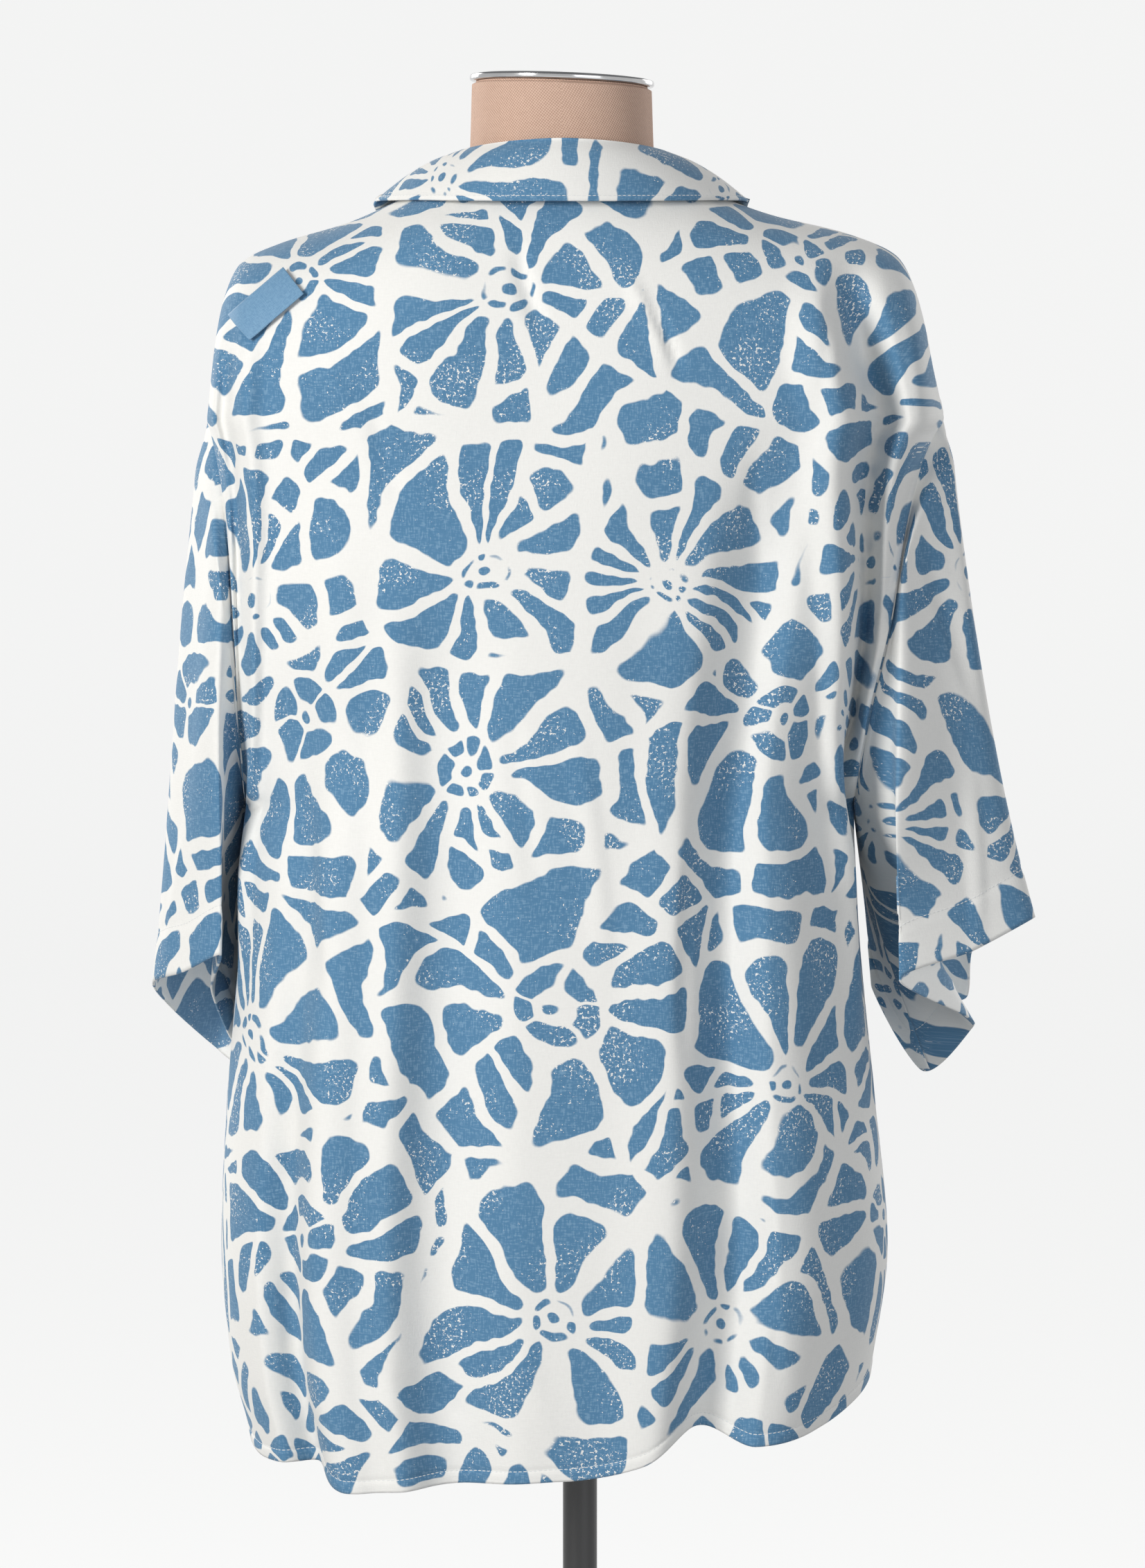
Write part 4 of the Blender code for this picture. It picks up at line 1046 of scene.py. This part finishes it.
def makeSleeve(node, side, hemTableHere, flare, rolls, creases):
    name = "shirt_" + node
    shares = np.linspace(0.5, 1.5, sleeves["around"])
    spots = np.stack([hemTableHere[axis] for axis in "xyz"], axis=1)
    hem = closedCurve(hemTableHere["share"], spots, shares)
    seam = armholeLoop(shares, side)
    near = 1 - np.array([0.0, 0.003, 0.012, 0.022, 0.0275, 0.030, 0.0325, 0.038, 0.046]) / sleeves["length"]
    down = np.concatenate([near[-1] * np.linspace(0, 1, sleeves["rows"]) ** 1.15, near[-2::-1]])
    down = down[None, :, None]
    spread = down**flare
    plan = seam[:, None, :2] * (1 - spread) + hem[:, None, :2] * spread
    grid = np.concatenate([plan, seam[:, None, 2:] * (1 - down) + hem[:, None, 2:] * down], axis=2)
    down = down[..., 0]
    for seamShare, hemShare, halfWidth, x, y, keep in rolls:
        off = (shares[:, None] - seamShare - (hemShare - seamShare) * down + 0.5) % 1.0 - 0.5
        amount = bump(off / halfWidth) * ramp(down, 0.0, 0.10) * (1 - ramp(down, keep, 0.95))
        grid = grid + amount[..., None] * np.array([side * x, y, 0.0])
    outward = -gridNormals(grid) * side
    u, v = clothLengths(grid)
    middle = len(shares) // 2
    around = u - u[middle : middle + 1]
    lift = creaseLift(around, v, creases) + slackLift(around, v, sleeves["slack"], 11 + side)
    lift = lift * ramp(v, 0.0, 0.03) * ramp(np.minimum(u, u[-1:] - u), 0.0, 0.02)
    fromHem = v[:, -1:] - v
    lift = lift + seamLift(v) + hemLift(fromHem, sleeves["hemDepth"])
    grid = grid + outward * lift[..., None]
    u, v = clothLengths(grid)
    uv = np.stack([u, v], axis=-1)
    fromHem = v[:, -1:] - v
    thick = 1 - ramp(fromHem, sleeves["hemDepth"], sleeves["hemDepth"] + 0.002)
    design = printPlace(grid, middle, side, 1.3 * side)
    piece = clothPiece(name, grid, -side, design, [cotton, cottonReverse], shirt["thickness"], thick)
    back = grid[:, ::-1], outward[:, ::-1]
    path = [lineAt(part, fromHem[:, ::-1], sleeves["hemDepth"]) for part in back]
    stitches = stitchRow(name + "_stitches", [path], thread)
    settle(piece, node)
    declareSheet(grid, uv)


makeSleeve("sleeve_left", 1, leftSleeveHem, sleeves["leftFlare"], leftRolls, leftSleeveCreases)
makeSleeve("sleeve_right", -1, rightSleeveHem, sleeves["rightFlare"], rightRolls, rightSleeveCreases)
print("sleeves made")

collar = {
    "rows": 180,
    "columns": 44,
    "thickness": 0.0013,
    "backShare": 0.55,
    "seamIn": 0.0038,
    "seamBack": 0.0040,
    "seamHeight": 1.4285,
    "foldSide": 0.061,
    "foldBack": 0.0655,
    "foldHeight": 1.4545,
    "foldSideDrop": 0.005,
    "edgeSide": 0.1125,
    "edgeBack": 0.0905,
    "edgeHeight": 1.4185,
    "endPlace": 0.135,
    "pointX": 0.104,
    "pointHeight": 1.344,
    "stitchIn": 0.0032,
}
# share of the way from fold to edge, and how far the fall bows out there
fallTable = [(0.10, 0.0030), (0.35, 0.0050), (0.65, 0.0042), (1.00, 0.0)]


def collarBackRow(turn, side):
    lateral, back = math.sin(turn), math.cos(turn)
    seam = ((shirt["neckHalfWidth"] - collar["seamIn"]) * lateral,
            (shirt["neckBack"] + collar["seamBack"]) * back,
            collar["seamHeight"] + 0.0050 * lateral**2)
    fold = (collar["foldSide"] * lateral, collar["foldBack"] * back,
            collar["foldHeight"] - collar["foldSideDrop"] * lateral**2)
    edge = (collar["edgeSide"] * lateral, collar["edgeBack"] * back,
            collar["edgeHeight"] + 0.0035 * lateral**2)
    return [np.array([centreX + side * p[0], p[1], p[2]]) for p in (seam, fold, edge)]


def collarFrontRow(f, side):
    place = side * (shirt["neckShare"] + (collar["endPlace"] - shirt["neckShare"]) * f)
    top = frontTop(np.array(place))
    neck = panelPoint(np.array(place), top - 0.0002, top, False)
    _, foldSide, edgeSide = collarBackRow(math.pi / 2, side)
    inX = -side * (collar["seamIn"] - 0.0020 * f)
    seam = neck + np.array([inX, 0.0005 * f, 0.0005])
    roll = neck + np.array([inX * 0.4, -0.0030 * f, 0.0030 + 0.0125 * (1 - f) ** 1.5])
    fold = foldSide * (1 - ramp(f, 0.0, 0.45)) + roll * ramp(f, 0.0, 0.45)
    fold[1] = min(fold[1], seam[1] + 0.004)
    x = edgeSide[0] + (centreX + side * collar["pointX"] - edgeSide[0]) * ramp(f, 0.0, 0.9)
    z = edgeSide[2] + (collar["pointHeight"] - edgeSide[2]) * (0.35 * f + 0.65 * f * f)
    fall = []
    for share, swell in fallTable:
        lift = shirt["layGap"] + collar["thickness"] + 0.0016 + 0.0060 * (1 - share) * (1 - 0.5 * f)
        laid = offPanel(fold[0] + (x - fold[0]) * share, fold[2] + (z - fold[2]) * share, False, lift)
        straight = fold + (edgeSide - fold) * share + np.array([0, 0, swell])
        blend = ramp(f, 0.0, 0.35)
        fall.append(straight * (1 - blend) + laid * blend)
    return seam, fold, fall


def makeCollar():
    grid = []
    for place in np.linspace(-1, 1, 61):
        side = 1 if place >= 0 else -1
        if abs(place) <= collar["backShare"]:
            seam, fold, edge = collarBackRow(abs(place) / collar["backShare"] * math.pi / 2, side)
            fall = [fold + (edge - fold) * share + np.array([0, 0, swell]) for share, swell in fallTable]
        else:
            f = (abs(place) - collar["backShare"]) / (1 - collar["backShare"])
            seam, fold, fall = collarFrontRow(f, side)
        rise = fold - seam
        out = np.array([fall[-1][0] - fold[0], fall[-1][1] - fold[1], 0.0])
        crown = fold + np.array([0, 0, 0.0010]) + out / np.linalg.norm(out) * 0.0020
        grid.append([seam, seam + rise * 0.5, fold - rise * 0.05, crown, *fall])
    grid = refine(refine(np.array(grid), collar["rows"], 0), collar["columns"], 1)
    outward = gridNormals(grid)
    u, v = clothLengths(grid)
    fromEdge = np.minimum(v[:, -1:] - v, np.minimum(u, u[-1:] - u))
    lift = -0.0005 * bump((fromEdge - collar["stitchIn"]) / 0.0016)
    grid = grid + outward * lift[..., None]
    u, v = clothLengths(grid)
    uv = np.stack([u - u[len(u) // 2 : len(u) // 2 + 1], 2.0 - v], axis=-1)
    piece = clothPiece("shirt_collar", grid, 1, uv, [cotton, cotton], collar["thickness"])
    fromEdge = v[:, -1:] - v
    back = grid[:, ::-1], outward[:, ::-1]
    edgePath = [lineAt(part, fromEdge[:, ::-1], collar["stitchIn"])[2:-2] for part in back]
    ends = [(grid[k][20:-3], outward[k][20:-3]) for k in (2, -3)]
    stitches = stitchRow("shirt_collar_stitches", [edgePath, *ends], thread)
    settle(piece, "collar")
    declareSheet(grid, uv)


def makeLapel(node, side):
    name = "shirt_" + node
    grid = []
    for t in np.linspace(0, 1, 9):
        height = shirt["lapelTop"] + (shirt["breakHeight"] + 0.006 - shirt["lapelTop"]) * t
        rollX = 0.036 - 0.030 * t
        tip = 0.034 * (1 - t) ** 0.8 + 0.006
        row = []
        for s in np.linspace(0, 1, 7):
            lift = shirt["layGap"] + 0.0032 + 0.0030 + 0.0020 * math.sin(math.pi * s)
            x = centreX + side * (rollX + tip * s)
            row.append(offPanel(x, height - 0.010 * s * (1 - t) - 0.002, False, lift))
        grid.append(row)
    grid = refine(refine(np.array(grid), 60, 0), 36, 1)
    outward = -gridNormals(grid) * side
    u, v = clothLengths(grid)
    uv = np.stack([u, v * side + 3.0 * side], axis=-1)
    piece = clothPiece(name, grid, -side, uv, [cotton, cotton], shirt["thickness"] * 1.4)
    stitches = stitchRow(name + "_stitches", [(grid[:, -4], outward[:, -4]), (grid[3], outward[3])], thread)
    settle(piece, node)
    declareSheet(grid, uv)


makeCollar()
makeLapel("lapel_left", 1)
makeLapel("lapel_right", -1)
print("collar and lapels made")

buttonShape = {"radius": 0.0057, "thickness": 0.0026, "top": 1.248, "pitch": 0.115, "count": 5,
               "holeOut": 0.0013, "holeRadius": 0.00055,
               "lift": 0.0046}  # from the cloth to the back of the button


# the button's face: a raised rim, a dish and four holes
def buttonHeight(x, y):
    radius, hole = np.hypot(x, y) / buttonShape["radius"], buttonShape["holeRadius"]
    height = 0.5 * buttonShape["thickness"] * (1 - ramp(radius, 0.86, 1.0) * 0.8)
    height = height - 0.0007 * (1 - ramp(radius, 0.60, 0.74))
    for sideX in (-1, 1):
        for sideY in (-1, 1):
            off = np.hypot(x - sideX * buttonShape["holeOut"], y - sideY * buttonShape["holeOut"])
            height = height - 0.0012 * (1 - ramp(off, hole * 0.7, hole * 1.4))
    return height


def makeButton(number):
    height = buttonShape["top"] - number * buttonShape["pitch"]
    spot = offPanel(centreX, height, False, 0.0)
    spot[1] -= buttonShape["lift"] + buttonShape["thickness"] / 2
    rings, segments = 26, 48
    points, faces = [(0.0, 0.0, float(buttonHeight(0.0, 0.0)))], []
    for ring in range(1, rings + 1):
        for x, y, _ in circle(buttonShape["radius"] * ring / rings, 0.0, segments):
            points.append((x, y, float(buttonHeight(x, y))))
    for ratio, z in ((1.0, -0.0002), (0.84, -buttonShape["thickness"] / 2)):
        points += circle(buttonShape["radius"] * ratio, z, segments)
    for i in range(segments):
        faces.append((0, 1 + i, 1 + (i + 1) % segments))
    faces += ringFaces(1, rings + 2, segments, flip=True)
    last = 1 + (rings + 1) * segments
    faces.append(tuple(reversed(range(last, last + segments))))
    piece = meshPiece(f"shirt_button_{number + 1}", points, faces, shell)
    piece.location = spot
    piece.rotation_euler = (math.pi / 2, 0, 0)
    settle(piece, f"button_{number + 1}")
    # sewing thread across the holes, and the worked buttonhole below the button
    out, front = buttonShape["holeOut"], spot[1] - 0.0010
    crossings = []
    for sideX in (-1, 1):
        for shift in (-0.00025, 0.00025):
            x = spot[0] + sideX * out + shift
            crossings.append(np.array([[x, front, spot[2] - out], [x, front - 0.0004, spot[2]],
                                       [x, front, spot[2] + out]]))
    makeThreads(f"button_thread_{number + 1}", crossings, 0.00022)
    bars = []
    for step in np.linspace(-1, 1, 27):
        z = spot[2] + step * 0.0085
        base = offPanel(centreX, z, False, panels["frontLift"] + 0.0003)
        bars.append(np.array([base + (-0.0012, 0, 0), base + (0, -0.0003, 0), base + (0.0012, 0, 0)]))
    makeThreads(f"buttonhole_{number + 1}", bars, 0.00025)


# short round threads through three points each
def makeThreads(name, lines, radius):
    points, faces = [], []
    for line in lines:
        run = line[-1] - line[0]
        run = run / np.linalg.norm(run)
        side = np.cross(run, (0.0, 1.0, 0.0))
        up = np.cross(run, side)
        first = len(points)
        for spot in line:
            for k in range(5):
                turn = 2 * math.pi * k / 5
                points.append(spot + radius * (math.cos(turn) * side + math.sin(turn) * up))
        faces += ringFaces(first, len(line), 5)
        faces.append(tuple(first + k for k in range(4, -1, -1)))
        faces.append(tuple(first + (len(line) - 1) * 5 + k for k in range(5)))
    piece = meshPiece(name, points, faces, thread)
    settle(piece)


for number in range(buttonShape["count"]):
    makeButton(number)
print("buttons made")

label = {"high": (0.1740, 1.3785), "low": (0.2063, 1.3516), "width": 0.0200, "thickness": 0.0006}


# a plain woven tab laid slantwise on the back of the left shoulder
def makeLabel():
    high, low = np.array(label["high"]), np.array(label["low"])
    along = low - high
    across = np.array([along[1], -along[0]]) / np.hypot(*along) * label["width"]
    lift = shirt["layGap"] + 0.0008
    grid = np.array([
        [offPanel(*(high + along * s + across * t), True, lift) for t in np.linspace(0, 1, 7)]
        for s in np.linspace(0, 1, 13)
    ])
    grid = refine(refine(grid, 60, 0), 30, 1)
    outward = -gridNormals(grid)
    u, v = clothLengths(grid)
    uv = np.stack([u, v], axis=-1)
    piece = clothPiece("shoulder_tab", grid, -1, uv, [labelTape, labelTape], label["thickness"])
    rows = [(grid[2:-2, k], outward[2:-2, k]) for k in (2, -3)]
    rows += [(grid[k, 2:-2], outward[k, 2:-2]) for k in (2, -3)]
    stitches = stitchRow("shoulder_tab_stitches", rows, thread)
    settle(piece, "shoulder_label")
    declareSheet(grid, uv)


makeLabel()
print("shoulder tab made")

form = {"neckTop": 1.4910, "capTilt": 0.038, "torsoBottom": 0.790, "segments": 144, "seamAngles": (76, -76)}
formTable = table("height halfWidth back front", [
    (0.790, 0.146, 0.092, -0.086), (0.800, 0.154, 0.099, -0.092), (0.850, 0.163, 0.108, -0.100),
    (0.920, 0.150, 0.100, -0.098), (1.000, 0.124, 0.078, -0.092), (1.060, 0.122, 0.074, -0.098),
    (1.120, 0.138, 0.082, -0.122), (1.170, 0.148, 0.090, -0.132), (1.230, 0.158, 0.096, -0.116),
    (1.290, 0.178, 0.096, -0.096), (1.340, 0.189, 0.088, -0.080), (1.370, 0.187, 0.078, -0.070),
    (1.386, 0.172, 0.070, -0.064), (1.396, 0.138, 0.056, -0.050), (1.404, 0.110, 0.053, -0.048),
    (1.412, 0.083, 0.052, -0.048), (1.424, 0.064, 0.053, -0.051), (1.440, 0.056, 0.055, -0.055),
    (1.491, 0.054, 0.054, -0.054),
])


def makeForm():
    segments = form["segments"]
    top = form["neckTop"]
    heights = np.concatenate([np.linspace(form["torsoBottom"], 1.37, 60), np.linspace(1.375, top - 0.004, 50),
                              np.linspace(top - 0.0035, top, 10)])
    angles = np.linspace(0, 2 * math.pi, segments + 1)
    power = 2 / 2.15
    sine, cosine = np.sin(angles)[None, :], np.cos(angles)[None, :]
    height = heights[:, None]
    halfWidth = follow(formTable["height"], formTable["halfWidth"], height)
    reach = np.where(cosine >= 0, follow(formTable["height"], formTable["back"], height),
                     -follow(formTable["height"], formTable["front"], height))
    seam = sum(bump((angles - math.radians(a) % (2 * math.pi)) / 0.035) for a in form["seamAngles"])[None, :]
    ease = 1 - 0.0010 / 0.054 * seam - 0.045 * ramp(height, top - 0.0022, top - 0.0006)
    x = centreX + halfWidth * np.sign(sine) * np.abs(sine) ** power * ease
    y = reach * np.sign(cosine) * np.abs(cosine) ** power * ease
    z = height + form["capTilt"] * (x - centreX) * ramp(height, 1.45, top)
    grid = np.stack([x, y, z], axis=-1)
    outward = gridNormals(grid)
    u, v = clothLengths(grid)
    points = grid[:, :-1].reshape(-1, 3)
    faces = [tuple(range(segments)), tuple(range(len(points) - 1, len(points) - segments - 1, -1))]
    faces += ringFaces(0, len(heights), segments, flip=True)
    spots = [[(0.0, 0.0)] * segments, [(0.0, 0.0)] * segments]
    for i in range(len(heights) - 1):
        for k in range(segments):
            spots.append([(v[i, k], heights[i]), (v[i + 1, k], heights[i + 1]),
                          (v[i + 1, k + 1], heights[i + 1]), (v[i, k + 1], heights[i])])
    piece = meshPiece("padded_form", points, faces, linen)
    layer = piece.data.uv_layers.new(name="cloth")
    layer.data.foreach_set("uv", np.array([c for face in spots for c in face], np.float32).ravel())
    piece.data.set_sharp_from_angle(angle=math.radians(50))
    paths = []
    for a in form["seamAngles"]:
        for off in (-0.05, 0.05):
            k = int(round((math.radians(a) % (2 * math.pi) + off) / (2 * math.pi) * segments))
            paths.append((grid[60:-2, k], -outward[60:-2, k]))
    stitchRow("padded_form_stitches", paths, linenThread)
    settle(piece, "dress_form")


makeForm()

stand = {"capRadius": 0.0555, "capThickness": 0.004, "poleRadius": 0.0105, "baseRadius": 0.170,
         "baseThickness": 0.012, "flangeRadius": 0.045, "flangeThickness": 0.010, "pieceGap": 0.0003}


def makeCap():
    r, t = stand["capRadius"], stand["capThickness"]
    profile = [(r - 0.0016, 0.0), (r - 0.0010, 0.0001), (r - 0.0003, 0.0005), (r, 0.0011), (r, t - 0.0013),
               (r - 0.0003, t - 0.0006), (r - 0.0010, t - 0.0002), (r - 0.0018, t)]
    piece = turnedPiece("chrome_neck_cap", profile, 160, chrome)
    piece.location = (centreX, 0.0, form["neckTop"] + stand["pieceGap"])
    piece.rotation_euler = (0.0, -math.atan(form["capTilt"]), 0.0)
    settle(piece, "neck_cap")


def standPiece(name, node, profile, segments):
    piece = turnedPiece(name, profile, segments, blackMetal)
    settle(piece, node)


def makeStand():
    top = form["torsoBottom"] - stand["pieceGap"]
    bottom, r = top - stand["flangeThickness"], stand["flangeRadius"]
    flange = [(r * 0.6, bottom), (r * 0.64, bottom), (r - 0.003, bottom + 0.0032),
              (r - 0.0008, bottom + 0.0036), (r, bottom + 0.0045), (r, top - 0.0008), (r - 0.0008, top)]
    standPiece("form_flange_turned", "form_flange", flange, 96)
    r, low = stand["poleRadius"], stand["baseThickness"] + 0.012 + stand["pieceGap"]
    high = bottom - stand["pieceGap"]
    pole = [(r - 0.0006, low), (r, low + 0.0006), (r, high - 0.0006), (r - 0.0006, high)]
    standPiece("round_pole", "pole", pole, 64)
    r, t, hub = stand["baseRadius"], stand["baseThickness"], 0.030
    base = [(r - 0.002, 0.0), (r - 0.0006, 0.0004), (r, 0.002), (r, t * 0.65), (r - 0.0008, t * 0.86),
            (r - 0.0025, t * 0.97), (r - 0.005, t), (hub + 0.003, t), (hub + 0.0008, t + 0.0006),
            (hub, t + 0.002),
            (hub * 0.74, t + 0.0108), (hub * 0.71, t + 0.0118), (hub * 0.66, t + 0.012)]
    standPiece("round_base", "stand_base", base, 160)


makeCap()
makeStand()
print("form and stand made")

studio = {
    "floor": (0.80, 0.80, 0.79, 1.0),
    "glow": 0.63,
    "bowlRadius": 9.5,
    "keyPower": 73.0,
    "fillPower": 34.0,
    "frontPower": 8.5,
    "frontSpread": 75,  # degrees, so that the floor in the picture stays as it is
    "world": 0.29,
    "aim": (0.0, 0.0, 1.1),  # where the lights point
}


# a pale floor that curves up into walls all round
def makeStage():
    radius, bend = studio["bowlRadius"], 1.4
    profile = [(0.0, 0.0), (radius - bend, 0.0)]
    for a in np.linspace(0, math.pi / 2, 15)[1:]:
        profile.append((radius - bend + bend * math.sin(a), bend - bend * math.cos(a)))
    profile += [(radius, 3.0), (radius, 5.0)]
    points, faces = turnedWalls([(r, z - 0.0002) for r, z in profile], 128)
    material, tree, shader = startMaterial("studio paper")
    setInputs(tree, shader, {
        "Base Color": studio["floor"], "Roughness": 0.9, "Specular IOR Level": 0.1,
        "Emission Color": (1.0, 1.0, 0.99, 1.0), "Emission Strength": studio["glow"],
    })
    piece = meshPiece("studio_floor", points, faces, material)
    piece.visible_diffuse = False  # it shows behind the shirt but throws no light back on it
    piece.visible_shadow = False


def areaLight(name, location, size, power, colour, spread=180):
    light = bpy.data.lights.new(name, "AREA")
    light.shape = "RECTANGLE"
    light.size, light.size_y = size
    light.energy, light.color, light.spread = power, colour, math.radians(spread)
    lamp = addObject(name, light)
    lamp.location = location
    lamp.visible_camera = False
    lamp.rotation_euler = (Vector(studio["aim"]) - Vector(location)).to_track_quat("-Z", "Y").to_euler()


def makeLights():
    areaLight("key light", (2.1, 2.2, 1.9), (0.8, 1.5), studio["keyPower"], (1.0, 0.985, 0.96))
    areaLight("fill light", (-2.0, 3.2, 1.5), (2.2, 2.2), studio["fillPower"], (0.95, 0.97, 1.0))
    # these two reach the front, which the photo's camera doesn't see
    for x, z, share in ((1.8, 2.0, 1.0), (-1.8, 1.8, 0.6)):
        areaLight("front light", (x, -2.2, z), (1.1, 1.6), studio["frontPower"] * share,
                  (1.0, 0.99, 0.97), studio["frontSpread"])
    world = bpy.data.worlds.new("studio")
    world.use_nodes = True
    background = world.node_tree.nodes["Background"]
    background.inputs["Color"].default_value = (0.96, 0.975, 1.0, 1.0)
    background.inputs["Strength"].default_value = studio["world"]
    bpy.context.scene.world = world
    bpy.context.scene.view_settings.view_transform = "Standard"


# level with the shoulders, tilted 4.4 degrees down
def makeCamera():
    camera = bpy.data.cameras.new("photo camera")
    camera.sensor_fit = "VERTICAL"
    camera.sensor_height = 36.0
    camera.lens = 113.6
    camera.clip_end = 60.0
    holder = addObject("photo camera", camera)
    holder.location = (0.0046, 3.0, 1.30)
    holder.rotation_euler = (math.radians(90 - 4.4), 0.0, math.pi)
    bpy.context.scene.camera = holder


makeStage()
makeLights()
makeCamera()
print("studio made")
